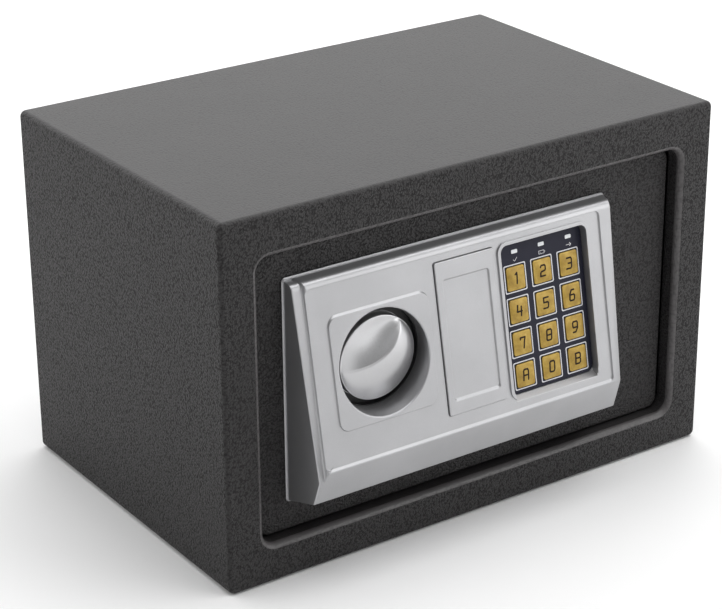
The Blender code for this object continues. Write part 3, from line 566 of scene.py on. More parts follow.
def add_piece(name, bm, material, body, slot, *nodes, angle=40):
    """A piece that is finished once it is shaded smooth."""
    keep(smooth(make_object(name, bm, material), angle), body, slot, *nodes)


# Cabinet


RING_STEPS = 10


def cabinet_ring(inset, y):
    x, z = (inset - WIDTH / 2, WIDTH / 2 - inset), (inset, HEIGHT - inset)
    return upright(rounded_outline(x, z, FOLD - inset, RING_STEPS), y)


def opening_ring(grow, y):
    half_x, half_z = OPENING_HALF[0] + grow, OPENING_HALF[1] + grow
    z = (OPENING_Z - half_z, OPENING_Z + half_z)
    return upright(rounded_outline((-half_x, half_x), z, OPENING_CORNER + grow, RING_STEPS), y)


def quarter(steps, backwards=False):
    angles = [math.radians(90.0 * i / steps) for i in range(steps + 1)]
    return angles[::-1] if backwards else angles


def edge_rings(radius, angles, y_of=float):
    return [cabinet_ring(EDGE - radius * math.cos(a), y_of(EDGE - radius * math.sin(a))) for a in angles]


def roll_rings(radius, angles):
    return [opening_ring(ROLL - radius * math.sin(a), ROLL - radius * math.cos(a)) for a in angles]


def make_cabinet():
    seam = FRAME_SKIRT + 0.15
    rings = [cabinet_ring(0, seam), *edge_rings(EDGE, quarter(6)), *roll_rings(ROLL, quarter(6))]
    rings += [opening_ring(0, WALL_END - 0.3), opening_ring(0.3, WALL_END), opening_ring(SHEET, WALL_END)]
    rings += roll_rings(ROLL - SHEET, quarter(4, True))
    rings += [*edge_rings(EDGE - SHEET, quarter(3, True)), cabinet_ring(SHEET, seam)]
    front = smooth(make_object("front_frame_steel", loft(rings, closed=True), "charcoal"), 50, True)
    # The roll's faces that turn partly forward take the lighter coat, a painted highlight along the opening's
    # rolled edge.
    front.data.materials.append(MATERIALS["rolled"])
    for face in front.data.polygons:
        across, up = abs(face.center.x) / MM, abs(face.center.z / MM - OPENING_Z)
        near = across < OPENING_HALF[0] + ROLL and up < OPENING_HALF[1] + ROLL
        face.material_index = int(near and -0.97 < face.normal.y < -0.1)
    keep(front, "cabinet", "charcoal_paint", "front_frame")

    back_seam = BACK_SKIRT - 0.15
    rings = [cabinet_ring(0, seam), cabinet_ring(0, back_seam), cabinet_ring(SHEET, back_seam)]
    rings.append(cabinet_ring(SHEET, seam))
    shell = make_object("cabinet_shell_steel", loft(rings, closed=True), "charcoal")
    for x in (-ANCHOR_X, ANCHOR_X):
        cut(shell, turned("Z", (x, ANCHOR_FLOOR_Y), [(-1, ANCHOR_RADIUS), (SHEET + 1, ANCHOR_RADIUS)]))
    keep(smooth(shell, 40, True), "cabinet", "charcoal_paint", "cabinet_shell")

    def from_back(y):
        return DEPTH - y

    rings = [*edge_rings(EDGE, quarter(6, True), from_back), cabinet_ring(0, back_seam)]
    rings += [cabinet_ring(SHEET, back_seam), *edge_rings(EDGE - SHEET, quarter(3), from_back)]
    back = make_object("back_panel_steel", loft(rings), "charcoal")
    for x in (-ANCHOR_X, ANCHOR_X):
        hole = [(DEPTH - 5, ANCHOR_RADIUS), (DEPTH - SHEET, ANCHOR_RADIUS)]
        hole += [(DEPTH - 0.5, ANCHOR_RADIUS), (DEPTH, ANCHOR_RADIUS + 0.5), (DEPTH + 1, ANCHOR_RADIUS + 1.5)]
        cut(back, turned("Y", (x, ANCHOR_WALL_Z), hole))
    keep(smooth(back, 40, True), "cabinet", "charcoal_paint", "back_panel")


def make_floor_mat():
    """Needle felt, cut by hand: its edge wavers and its surface is never quite flat."""
    x, y, z = spans("floor_mat")
    columns, rows = 74, 44
    thick = z[1] - z[0]
    bm = bmesh.new()

    def height(px, py):
        waves = noise.noise((px * 0.06, py * 0.06, 0.0))
        return 0.28 * waves + 0.1 * noise.noise((px * 0.35, py * 0.35, 4.0))

    def place(i, j, up):
        px, py = x[0] + (x[1] - x[0]) * i / columns, y[0] + (y[1] - y[0]) * j / rows
        edge = min(i, columns - i, j, rows - j) == 0
        inward = 0.35 + 0.35 * noise.noise((px * 0.11, py * 0.11, 9.0)) if edge else 0.0
        px += inward * ((i == 0) - (i == columns))
        py += inward * ((j == 0) - (j == rows))
        return (px, py, z[0] + up * (thick - 0.4 - (0.5 if edge else 0.0) + height(px, py)))

    rims = []
    for up in (0, 1):
        grid = [[bm.verts.new(place(i, j, up)) for j in range(rows + 1)] for i in range(columns + 1)]
        grid_faces(bm, grid)
        near, far = [line[0] for line in grid], [line[-1] for line in grid]
        rims.append(near + grid[-1][1:] + far[-2::-1] + grid[0][-2:0:-1])
    low, high = rims
    for i in range(len(low)):
        bm.faces.new((low[i - 1], low[i], high[i], high[i - 1]))
    bmesh.ops.recalc_face_normals(bm, faces=bm.faces)
    mat = make_object("floor_mat_felt", bm, "felt")
    for hole_x in (-ANCHOR_X, ANCHOR_X):
        cut(mat, turned("Z", (hole_x, ANCHOR_FLOOR_Y), [(z[0] - 1, 7), (z[1] + 1, 7)], 40), flatten=False)
    keep(smooth(mat, 60), "cabinet", "felt", "floor_mat")


WELD_RADIUS, HINGE_BORE = 1.3, 2.8


def weld_bead(bm, start, end):
    """A short run of weld, with the ripples of a hand torch."""
    start, end = Vector(start), Vector(end)
    steps = max(12, int((end - start).length * 2))
    points = [start.lerp(end, i / steps) for i in range(steps + 1)]

    def swell(i):
        end_taper = math.sqrt(max(0.05, math.sin(math.pi * min(1.0, max(0.02, i / steps)))))
        return (0.86 + 0.14 * abs(math.sin(i * 0.9))) * min(1.0, 1.6 * end_taper)

    return tube(points, WELD_RADIUS, 10, bm, swell)


def make_welds(name, body, y, reach, ends):
    """Two upright beads, at that reach to the left and right of the hinge's axis."""
    beads = bmesh.new()
    for x in (HINGE[0] - reach, HINGE[0] + reach):
        weld_bead(beads, (x, y, ends[0]), (x, y, ends[1]))
    add_piece(name, beads, "inner_coat", body, "charcoal_paint", angle=60)


def make_hinges():
    lap, tab, reach, half = SHEET + 0.15, SHEET + 2.3, 21.0, 10.0
    for name, leg, fold, end in (("upper", 181.0, 183.0, 196.0), ("lower", 17.0, 15.0, 3.5)):
        outline = [(lap, leg), (reach, leg), (reach, fold), (tab, fold), (tab, end), (lap, end)]
        sides = [[(HINGE[0] + x, y, z) for y, z in outline] for x in (-half, half)]
        bracket = make_object(f"hinge_bracket_{name}_steel", loft(sides), "zinc")
        hole = [(min(leg, fold) - 1, HINGE_BORE), (max(leg, fold) + 1, HINGE_BORE)]
        cut(bracket, turned("Z", HINGE, hole))
        keep(round_edges(bracket, 0.35), "cabinet", "plated_steel", f"hinge_bracket_{name}")
        welded = (min(fold, end) + 1, max(fold, end) - 1)
        make_welds(f"hinge_bracket_{name}_weld", "cabinet", lap + 0.5, half, welded)

        ends = node_range(f"hinge_pin_{name}", 2)
        profile = [(ends[0], 0.3), (ends[0], 2.5), (ends[1], 2.5), (ends[1], 0.3)]
        pin = turned("Z", HINGE, softened(profile, 0.7))
        add_piece(f"hinge_pin_{name}_steel", pin, "chrome", "door", "plated_steel", f"hinge_pin_{name}")
        welded = (ends[0] + 1, ends[1] - 14) if name == "upper" else (ends[0] + 14, ends[1] - 1)
        make_welds(f"hinge_pin_{name}_weld", "door", DOOR_BACK + 0.5, 2.2, welded)


def make_strike():
    wall = -OPENING_HALF[0] - SHEET - 0.2
    lip = wall + 5.2
    outline = [(wall - 1.5, 4.5), (wall, 4.5), (wall, 11.5), (lip, 11.5), (lip, 13), (wall - 1.5, 13)]
    ends = node_range("strike_plate", 2)
    strike = make_object("strike_plate_steel", loft([[(x, y, z) for x, y in outline] for z in ends]), "zinc")
    keep(round_edges(strike, 0.3), "cabinet", "plated_steel", "strike_plate")


# Door


DOOR_CORNER, COVER_CORNER = 6.0, 6.0
POST_BORE, RESET_BORE, BOLT_BORE = 1.9, 3.4, 6.9
CELL_RADIUS = 7.1


def make_door():
    outline = rounded_outline(DOOR_X, DOOR_Z, DOOR_CORNER, 12)
    leaf = make_object("door_leaf", slab(outline, DOOR_FRONT, DOOR_BACK), "charcoal")
    round_edges(leaf, 0.9, 4)
    bores = [(KNOB, SHAFT_BORE), (CYLINDER, CYLINDER_RADIUS + 0.3), (WIRE_HOLE, WIRE_HOLE_RADIUS)]
    bores += [(centre_of(screw, 0, 2), GUIDE_BORE) for screw in GUIDE_SCREWS]
    for centre, radius in bores:
        cut(leaf, turned("Y", centre, [(DOOR_FRONT - 1, radius), (DOOR_BACK + 1, radius)], 48))
    keep(leaf, "door", "charcoal_paint", "door_plate")
    posts = bmesh.new()
    for post in POSTS:
        end = COVER_BACK - COVER_SHEET - 0.3
        turned("Y", post, [(DOOR_BACK, 4), (end, 4), (end, 1.8), (30, 1.8)], 32, bm=posts)
    add_piece("cover_posts", posts, "zinc", "door", "plated_steel", angle=30)


def cover_ring(inset, y):
    x, z = (COVER_X[0] + inset, COVER_X[1] - inset), (COVER_Z[0] + inset, COVER_Z[1] - inset)
    return upright(rounded_outline(x, z, max(COVER_CORNER - inset, 2.0), 8), y)


def cross_arm(centre, y, upright_arm):
    """One arm of a screw's cross recess, tapering as it goes in from y."""
    size, depth = 4.2, 1.5
    rings = []
    for place, half, wide in ((y + 0.2, size / 2, 0.5), (y - depth, size / 6, 0.28)):
        corners = ((-half, -wide), (half, -wide), (half, wide), (-half, wide))
        points = [(c[1], c[0]) if upright_arm else c for c in corners]
        rings.append([(centre[0] + a, place, centre[1] + b) for a, b in points])
    return loft(rings)


def make_lock_cover():
    bend = 2.0
    rings = []
    for angle in quarter(5, True):
        rings.append(cover_ring(bend * (1 - math.cos(angle)), COVER_BACK - bend * (1 - math.sin(angle))))
    rings += [cover_ring(0, COVER_FRONT + 0.2), cover_ring(0.2, COVER_FRONT)]
    rings.append(cover_ring(COVER_SHEET, COVER_FRONT))
    for angle in quarter(3):
        inner = bend - COVER_SHEET
        rings.append(cover_ring(bend - inner * math.cos(angle), COVER_BACK - bend + inner * math.sin(angle)))
    cover = make_object("lock_cover_steel", loft(rings), "inner_coat")
    lid_x, _, lid_z = spans("battery_lid")
    through = (COVER_BACK - 1.6, COVER_BACK + 1)
    opening = rounded_outline((lid_x[0] - 0.4, lid_x[1] + 0.4), (lid_z[0] - 0.4, lid_z[1] + 0.4), 1.6, 6)
    holes = slab(opening, *through)
    turned("Y", centre_of("reset_button", 0, 2), [(y, RESET_BORE) for y in through], bm=holes)
    for post in POSTS:
        turned("Y", post, [(y, POST_BORE) for y in through], 24, bm=holes)
    for name in ("bolt_upper", "bolt_lower"):
        hole = [(COVER_X[0] - 1, BOLT_BORE), (COVER_X[0] + 1.7, BOLT_BORE)]
        turned("X", centre_of(name, 1, 2), hole, bm=holes)
    cut(cover, holes)
    keep(smooth(cover, 35, True), "door", "charcoal_paint", "lock_cover")

    for number, post in enumerate(POSTS, 1):
        top = node_range(f"cover_screw_{number}", 1)[1]
        profile = [(33, 0.2), (33, 1.5), (COVER_BACK, 1.5), (COVER_BACK + 0.05, 3.4)]
        profile += [(COVER_BACK + 0.7, 3.35), (top - 0.45, 2.7), (top - 0.12, 1.6), (top, 0.25)]
        screw = make_object(f"cover_screw_{number}_steel", turned("Y", post, profile, 40), "zinc")
        cut(screw, cross_arm(post, top, False), cross_arm(post, top, True))
        keep(smooth(screw, 30), "door", "plated_steel", f"cover_screw_{number}")


def add_rib(ribs, half, height, thin, y_from, y_to):
    """A rib across the battery lid: half its length and half its width are given."""
    mid = middle("battery_lid", 0)
    outline = rounded_outline((mid - half, mid + half), (height - thin, height + thin), thin - 0.02, 4)
    slab(outline, y_from, y_to, ribs)


def make_battery_bay():
    x, y, z = spans("battery_lid")
    lid = make_object("battery_lid_cover", slab(rounded_outline(x, z, 1.4, 6), *y), "black")
    grip = (middle("battery_lid", 0) - 9, middle("battery_lid", 0) + 9)
    cut(lid, slab(rounded_outline(grip, (z[1] - 12, z[1] - 4), 3.9, 8), y[1] - 0.7, y[1] + 1))
    round_edges(lid, 0.25)
    keep(lid, "battery_lid", "black_plastic", "battery_lid")
    ribs = bmesh.new()
    for i in range(4):
        add_rib(ribs, 5, z[1] - 10.4 + i * 1.6, 0.3, y[1] - 0.75, y[1] - 0.1)
    for i in range(3):
        add_rib(ribs, 26 - 4 * i, z[0] + 6 + 2.2 * i, 0.4, y[1] - 0.1, y[1])
    add_piece("battery_lid_ribs", ribs, "black", "battery_lid", "black_plastic", angle=30)

    case_x, case_y, case_z = spans("battery_box")
    floor = 25.0
    outer = rounded_outline(case_x, case_z, 2.0, 6)
    inner = rounded_outline((case_x[0] + 2, case_x[1] - 2), (case_z[0] + 2, case_z[1] - 2), 1.0, 6)
    rings = [upright(outer, floor), upright(outer, case_y[1])]
    rings += [upright(inner, case_y[1]), upright(inner, floor + 1.2)]
    case = make_object("battery_case", loft(rings), "black")
    feet = bmesh.new()
    for foot in ((case_x[0] + 7, case_z[0] + 6), (case_x[1] - 7, case_z[1] - 6)):
        turned("Y", foot, [(case_y[0], 4), (floor + 0.6, 4)], 24, bm=feet)
    cut(case, feet, operation="UNION")
    keep(round_edges(case, 0.25, 2), "door", "black_plastic", "battery_box")
    contacts = bmesh.new()
    for number in range(1, 5):
        cell = f"battery_{number}"
        centre, flipped = centre_of(cell, 0, 1), number % 2 == 0
        low, high = node_range(cell, 2)

        def flip(profile):
            return [(low + high - place, radius) for place, radius in profile] if flipped else profile

        body = [(low, 0.3), (low, 6.9), (low + 0.5, CELL_RADIUS), (high - 1.9, CELL_RADIUS)]
        body += [(high - 1.2, 6.7), (high - 1.2, 0.4)]
        wrap = turned("Z", centre, softened(flip(body), 0.35), 56)
        add_piece(f"{cell}_wrap", wrap, "wrap", "door", "cell_wrap", cell, angle=35)
        printed = CELL_RADIUS + 0.03
        bottom, top = high - 13, high - 2.2
        band = [(bottom, CELL_RADIUS), (bottom, printed), (top, printed), (top, CELL_RADIUS)]
        ring = turned("Z", centre, flip(band), 56, closed=True)
        add_piece(f"{cell}_band", ring, "wrap_band", "door", "cell_wrap", angle=35)
        cap = [(high - 1.3, 0.3), (high - 1.3, 4.9), (high - 0.95, 4.9), (high - 0.95, 2.75)]
        cap += [(high, 2.6), (high, 0.3)]
        cap = turned("Z", centre, softened(flip(cap), 0.2), 40)
        add_piece(f"{cell}_cap", cap, "zinc", "door", "cell_wrap", angle=35)
        across, deep = (centre[0] - 4.5, centre[0] + 4.5), (centre[1] - 5, centre[1] + 6)
        for end, inward in ((case_z[0] + 2.0, 0.12), (case_z[1] - 2.0, -0.12)):
            box(across, deep, sorted((end, end + inward)), contacts)
    keep(make_object("battery_contacts", contacts, "chrome"), "door", "plated_steel")


def make_reset_button():
    low, high = node_range("reset_button", 1)
    centre = centre_of("reset_button", 0, 2)
    profile = [(low, 0.3), (low, 4.4), (low + 0.9, 4.4), (low + 0.9, 3.0), (high - 0.35, 3.0), (high, 0.3)]
    button = turned("Y", centre, softened(profile, 0.5))
    add_piece("reset_button_cap", button, "red", "reset_button", "red_plastic", "reset_button")


def make_bolts():
    for name in ("bolt_upper", "bolt_lower"):
        tip = node_range(name, 0)[0]
        centre = centre_of(name, 1, 2)
        profile = [(tip, 0.3), (tip, 4.7), (tip + 1.5, 6), (-98.3, 6), (-98.3, 3), (-96, 3)]
        profile += [(-96, 5), (-93.5, 5), (-93.5, 0.3)]
        bolt = turned("X", centre, softened(profile, 0.5), 56)
        add_piece(f"{name}_steel", bolt, "chrome", "boltwork", "plated_steel", name)


# Lock case


def offset_outline(points, distances):
    """Moves each edge of an anticlockwise outline in by its distance and returns the new corners."""
    lines = []
    for i, distance in enumerate(distances):
        start, end = Vector(points[i]), Vector(points[(i + 1) % len(points)])
        along = (end - start).normalized()
        lines.append((start + Vector((-along.y, along.x)) * distance, along))
    corners = []
    for (first, along), (second, other) in zip(lines[-1:] + lines[:-1], lines):
        step = (second - first).cross(other) / along.cross(other)
        corners.append(first + along * step)
    return corners


def case_wedge(profile, inset=0.0):
    """The case's solid wedge, from its profile in y and z, with its sides drawn in by inset."""
    rings = []
    for side, slope, inward in ((CASE_X[0], CASE_DRAFT[0], 1), (CASE_X[1], CASE_DRAFT[1], -1)):
        rings.append([(side + inward * (inset + slope * (CASE_BASE - y)), y, z) for y, z in profile])
    return loft(rings)


def sloped_slab(area, radius, foot, slopes):
    """A block that stands on foot, a height over the face; slopes: left, right, top and bottom."""
    rings = []
    for rise in (0, 3):
        left, right, top, bottom = (rise * slope for slope in slopes)
        x, v = (area[0] - left, area[1] + right), (area[2] - top, area[3] + bottom)
        outline = rounded_outline(x, v, radius + (left + right + top + bottom) / 4, 8)
        rings.append([face_point(a, b, foot + rise) for a, b in outline])
    return loft(rings)


def side_strip(top_edge):
    """What is cut away to lower the strip at the left of the face, up to a steep wall."""
    (wall_x, low), (brink_x, high) = SIDE_WALL
    lean = (brink_x - wall_x) / (high - low)
    sunk = [Vector((0.0, y, z)) + FACE_OUT * low for y, z in (CASE_PROFILE[0], *top_edge)]
    path = [*sunk, face_point(0, 120, low), face_point(0, 120, 4), face_point(0, -8, 4)]
    path.append(sunk[0] + Vector((0, 0, 8)))
    rings = [[(-130.0, point.y, point.z) for point in path]]
    rises = [(point - FACE_TOP).dot(FACE_OUT) - low for point in path]
    rings.append([(wall_x + lean * rise, point.y, point.z) for rise, point in zip(rises, path)])
    return loft(rings)


def well_mouth(width):
    """What is cut away to round the edge between the knob's well and the sloping face."""

    def ring(radius, n):
        points = []
        for x, z in circle(KNOB, radius, 128):
            level = Vector((x, FACE_TOP.y, z))
            points.append(level + Vector((0, 1, 0)) * ((n - (level - FACE_TOP).dot(FACE_OUT)) / FACE_OUT.y))
        return points

    base = WELL_RADIUS - 0.05
    rings = [ring(base - 2, -width)]
    for angle in quarter(5):
        rings.append(ring(base + width * (1 - math.cos(angle)), width * (math.sin(angle) - 1)))
    return loft([*rings, ring(base + width, 2.0), ring(base - 2, 2.0)])


def make_case():
    top_edge = softened(CASE_PROFILE[:3], 3.6, 9)[1:-1]
    case = make_object("lock_case", case_wedge([CASE_PROFILE[0], *top_edge, *CASE_PROFILE[2:]]), "silver")
    round_edges(cut(case, side_strip(top_edge)), 0.5, 4, clamp=False)

    inner = offset_outline(CASE_PROFILE, [CASE_WALL] * 4 + [-1.0])
    hollow = make_object("hollow", case_wedge(inner, CASE_WALL), "silver")
    cut(hollow, turned("Y", KNOB, [(-30, WELL_RADIUS + 2.2), (12, WELL_RADIUS + 2.2)], 96))
    cut(hollow, face_slab(KEY_COVER, 3, -4.7, 2, grow=2.5), face_slab(WINDOW, 4, -7.9, 2, grow=2.4))
    field = make_object("field", sloped_slab(FIELD, 2.2, -RELIEF, (0.3, 0.3, 0.1, 1.1)), "silver")
    plateau = sloped_slab(KNOB_PLATEAU, 6, -RELIEF - 0.2, (-0.3, -0.3, -1.1, -0.3))
    cut(field, plateau, face_slab(WINDOW, 4, -5, 5, grow=WINDOW_RIM))
    for solid in (hollow, field):
        tool = bmesh.new()
        tool.from_mesh(solid.data)
        for vert in tool.verts:
            vert.co = Vector((vert.co.x, vert.co.y - FRONT, vert.co.z)) / MM
        bpy.data.objects.remove(solid)
        cut(case, tool)
    cut(case, face_slab(KEY_COVER, 1.2, -2.3, 3, grow=0.3), face_slab(WINDOW, 4, -5.9, 3))
    sill = [[face_point(x, v, n) for v, n in WINDOW_SILL] for x in (WINDOW[0] + 1, WINDOW[1] - 0.5)]
    cut(case, face_slab(LEDGE, 2, -9, 0), loft(sill))
    well = [(-30, WELL_RADIUS), (WELL_FLOOR, WELL_RADIUS)]
    cut(case, turned("Y", KNOB, [(0, 5), (10, 5)], 40), turned("Y", CYLINDER, [(-15, 11), (6, 11)], 72))
    round_edges(case, 0.22, 2, 34, clamp=False)
    cut(case, well_mouth(0.9), turned("Y", KNOB, well, 128), flatten=False)
    keep(smooth(case, 40, True), "door", "silver_paint", "bezel")
    make_case_rim()

    # A black liner on the well's floor and the foot of its wall, a dark piece put in for painted shade in the
    # well round the knob.
    radius, floor = WELL_RADIUS - 0.1, WELL_FLOOR - 0.1
    inner = KNOB_RADIUS + 0.4
    profile = [(floor, inner), (floor, radius), (floor - 4.5, radius), (floor - 4.5, radius - 0.5)]
    profile += [(floor - 0.6, radius - 0.5), (floor - 0.6, inner)]
    liner = turned("Y", KNOB, profile, 96, closed=True)
    add_piece("knob_well_shade_liner", liner, "black", "door", "black_plastic", angle=30)


def make_case_rim():
    """The case's narrow flange on the door, with a chamfer all round."""
    rings = []
    for grow, y in ((-0.8, -0.1), (0.8, -0.1), (0.8, -0.4), (0.3, -0.95), (-0.8, -0.95)):
        x, z = (CASE_X[0] - grow, CASE_X[1] + grow), (CASE_PROFILE[-1][1] - grow, CASE_PROFILE[0][1] + grow)
        rings.append(upright(rounded_outline(x, z, 1.2 + grow), CASE_BASE + y))
    rim = loft(rings, closed=True)
    add_piece("case_rim", rim, "silver", "door", "silver_paint", angle=30)


def make_key_cover():
    cover = make_object("key_cover_plate", face_slab(KEY_COVER, 1, -2.0, 0), "silver")
    cut(cover, sloped_slab(KEY_COVER_SUNK, 1.2, -0.9, (0.2, 0.2, 0.3, 1.1)))
    keep(round_edges(cover, 0.4, 3, clamp=False), "override_cover", "silver_paint", "override_cover")
    tabs = bmesh.new()
    for x in (KEY_COVER[0] + 5, KEY_COVER[1] - 9):
        for v in (KEY_COVER[2] + 3, KEY_COVER[3] - 4.5):
            face_slab((x, x + 4, v, v + 1.5), 0.4, -2.25, -1.9, steps=3, bm=tabs)
    add_piece("key_cover_tabs", tabs, "silver", "override_cover", "silver_paint", angle=30)


def make_key_cylinder():
    front, back = node_range("key_cylinder", 1)
    bore = PLUG_RADIUS + 0.3
    profile = [(front, bore), (front, CYLINDER_RADIUS), (back, CYLINDER_RADIUS), (back, bore)]
    body = make_object("key_cylinder_body", turned("Y", CYLINDER, profile, 64, closed=True), "brass")
    keep(round_edges(body, 0.4), "door", "brass", "key_cylinder")
    end = node_range("lock_plug", 1)[1]
    neck = back + 0.3
    profile = [(front, 0.3), (front, PLUG_RADIUS), (neck, PLUG_RADIUS), (neck, 4), (end, 4), (end, 0.3)]
    plug = make_object("lock_plug_body", turned("Y", CYLINDER, softened(profile, 0.35), 64), "brass")
    keyway = [(-1.1, -4.2), (0.5, -4.2), (0.5, -1.4), (1.2, -0.6), (1.2, 1.6), (0.4, 2.2), (0.4, 4.2)]
    keyway += [(-1.1, 4.2), (-1.1, 1.2), (-0.4, 0.5), (-0.4, -0.9), (-1.1, -1.6)]
    keyway = [(CYLINDER[0] + x, CYLINDER[1] + z) for x, z in keyway]
    cut(plug, slab(keyway, front - 1, front + 8))
    keep(smooth(plug, 30), "lock_plug", "brass", "lock_plug")


# Knob


def crest_height(along):
    """Height of the knob's crest over its rim; along is 0 at its lower left end and 1 at its upper right."""
    share = min(1.0, max(0.0, along))
    return 6.5 * math.sin(math.pi * share**1.35) ** (0.55 + 0.15 * share)


def make_knob():
    """The front is a fan of lines that cross the crest at right angles, from rim to rim."""
    centre = Vector(CREST_CENTRE)
    rim = KNOB_RADIUS - 0.5

    def rim_reach(direction):
        """Where a line from the crest's centre enters and leaves the rim's circle."""
        b = -centre.dot(direction)
        root = math.sqrt(max(0.0, b * b - centre.length_squared + rim * rim))
        return b - root, b + root

    heading = math.atan2(-centre.y, -centre.x)
    spread = math.asin(rim / centre.length) * 0.99999
    ends = []
    for side in (-1, 1):
        low, high = 0.0, spread
        for _ in range(40):
            mid = (low + high) / 2
            direction = Vector((math.cos(heading + side * mid), math.sin(heading + side * mid)))
            inner, outer = rim_reach(direction)
            low, high = (mid, high) if inner < CREST_RADIUS < outer else (low, mid)
        ends.append(heading + side * low)
    fans, share = 72, 40
    bm = bmesh.new()
    rows = []
    for i in range(fans + 1):
        angle = heading - spread + 2 * spread * (0.5 - 0.5 * math.cos(math.pi * i / fans))
        direction = Vector((math.cos(angle), math.sin(angle)))
        inner, outer = rim_reach(direction)
        crest = min(max(CREST_RADIUS, inner), outer)
        along = (angle - ends[0]) / (ends[1] - ends[0])
        top = crest_height(along)
        hollow = 0.2 * top * max(0.0, along)
        row = []
        for j in range(2 * share + 1):
            t = (abs(j - share) / share) ** 1.3
            if j < share:
                reach = crest + (inner - crest) * t
                height = top * (1 - t) ** (0.9 + 2.9 * max(0.0, along)) - hollow * 8 * t**1.5 * (1 - t) ** 2
            else:
                reach = crest + (outer - crest) * t
                height = top * (1 - t**2.1)
            height -= 0.04 * top * math.exp(-(((reach - crest) / 0.22) ** 2))
            point = centre + direction * reach
            row.append(bm.verts.new((KNOB[0] + point.x, KNOB_RIM - height, KNOB[1] + point.y)))
        rows.append(row)
    for low, high in zip(rows, rows[1:]):
        for j in range(2 * share):
            bm.faces.new((low[j], low[j + 1], high[j + 1], high[j]))
    bmesh.ops.remove_doubles(bm, verts=bm.verts, dist=0.02)
    border = open_edges(bm.edges)
    profile = [(0.2, 0.02), (0.35, 0.1), (0.46, 0.26), (0.5, 0.5), (0.5, KNOB_BACK - KNOB_RIM - 0.8)]
    profile += [(0.0, KNOB_BACK - KNOB_RIM), (-rim + 6, KNOB_BACK - KNOB_RIM)]
    for grow, depth in profile:
        verts, border = extrude(bm, border)
        for vert in verts:
            spoke = Vector((vert.co.x - KNOB[0], vert.co.z - KNOB[1])).normalized() * (rim + grow)
            vert.co = Vector((KNOB[0] + spoke.x, KNOB_RIM + depth, KNOB[1] + spoke.y))
    bmesh.ops.contextual_create(bm, geom=border)
    bmesh.ops.recalc_face_normals(bm, faces=bm.faces)
    add_piece("turn_knob", bm, "knob", "knob", "knob_plating", "knob", angle=50)


# Keypad

ZERO = [(0, 0.12), (0, 0.88), (0.15, 1), (0.85, 1), (1, 0.88), (1, 0.12), (0.85, 0), (0.15, 0), (0, 0.12)]
LEGENDS = {
    "0": [ZERO],
    "1": [[(0.3, 0.86), (0.62, 1), (0.62, 0)]],
    "2": [
        [(0, 0.85), (0.15, 1), (0.85, 1), (1, 0.88), (1, 0.6), (0.88, 0.5)],
        [(0.88, 0.5), (0.12, 0.42), (0, 0.3), (0, 0), (1, 0)],
    ],
    "3": [[(0, 1), (0.85, 1), (1, 0.88), (1, 0.12), (0.85, 0), (0, 0)], [(0.3, 0.5), (1, 0.5)]],
    "4": [[(0.12, 1), (0, 0.42), (1, 0.42)], [(0.85, 0.85), (0.85, 0)]],
    "5": [[(1, 1), (0, 1), (0, 0.56), (0.85, 0.56), (1, 0.44), (1, 0.12), (0.85, 0), (0, 0)]],
    "6": [
        [(0.9, 1), (0.35, 1), (0, 0.62), (0, 0.12), (0.15, 0), (0.85, 0)],
        [(0.85, 0), (1, 0.12), (1, 0.45), (0.85, 0.55), (0, 0.55)],
    ],
    "7": [[(0, 0.84), (0, 1), (1, 1), (0.78, 0.55), (0.72, 0)]],
    "8": [ZERO, [(0, 0.5), (1, 0.5)]],
    "9": [
        [(1, 0.45), (0.15, 0.45), (0, 0.55), (0, 0.88), (0.15, 1), (0.85, 1)],
        [(0.85, 1), (1, 0.88), (1, 0.38), (0.65, 0), (0.1, 0)],
    ],
    "a": [[(0, 0), (0, 0.85), (0.15, 1), (0.85, 1), (1, 0.85), (1, 0)], [(0, 0.45), (1, 0.45)]],
    "b": [
        [(0, 0), (0, 1), (0.8, 1), (1, 0.88), (1, 0.62), (0.85, 0.52), (0, 0.52)],
        [(0.85, 0.52), (1, 0.4), (1, 0.12), (0.8, 0), (0, 0)],
    ],
}
LEGEND_SIZE, LEGEND_STROKE = (3.1, 5.7), 0.46
KEY_RADIUS = 1.3


def key_crown(a, b):
    """Height of a key's top over its edge, at a and b from its middle."""
    radius = math.hypot(a, b)
    dome = 0.42 * max(0.0, 1 - (radius / 5.3) ** 2) ** 1.2
    edge = min(KEY_SIZE[0] / 2 - abs(a), KEY_SIZE[1] / 2 - abs(b))
    return dome + 0.12 * min(1.0, edge / 1.2)


def stroke(bm, start, end, half, lift, height_at):
    """A printed stroke with round ends, laid over the surface height_at gives."""
    start, end = Vector(start), Vector(end)
    along = (end - start).normalized()
    across = Vector((-along.y, along.x))
    length = (end - start).length + 2 * half
    steps = max(10, int(length * 6))
    rings = []
    for i in range(steps + 1):
        s = length * (0.5 - 0.5 * math.cos(math.pi * i / steps))
        near = min(s, length - s)
        wide = half if near >= half else math.sqrt(max(1e-4, half * half - (half - near) ** 2))
        spot = start + along * (s - half)
        ring = []
        for sign, up in ((-1, -0.08), (-1, lift), (1, lift), (1, -0.08)):
            place = spot + across * (wide * sign)
            ring.append(face_point(place.x, place.y, height_at(place.x, place.y) + up))
        rings.append(ring)
    loft(rings, bm=bm)


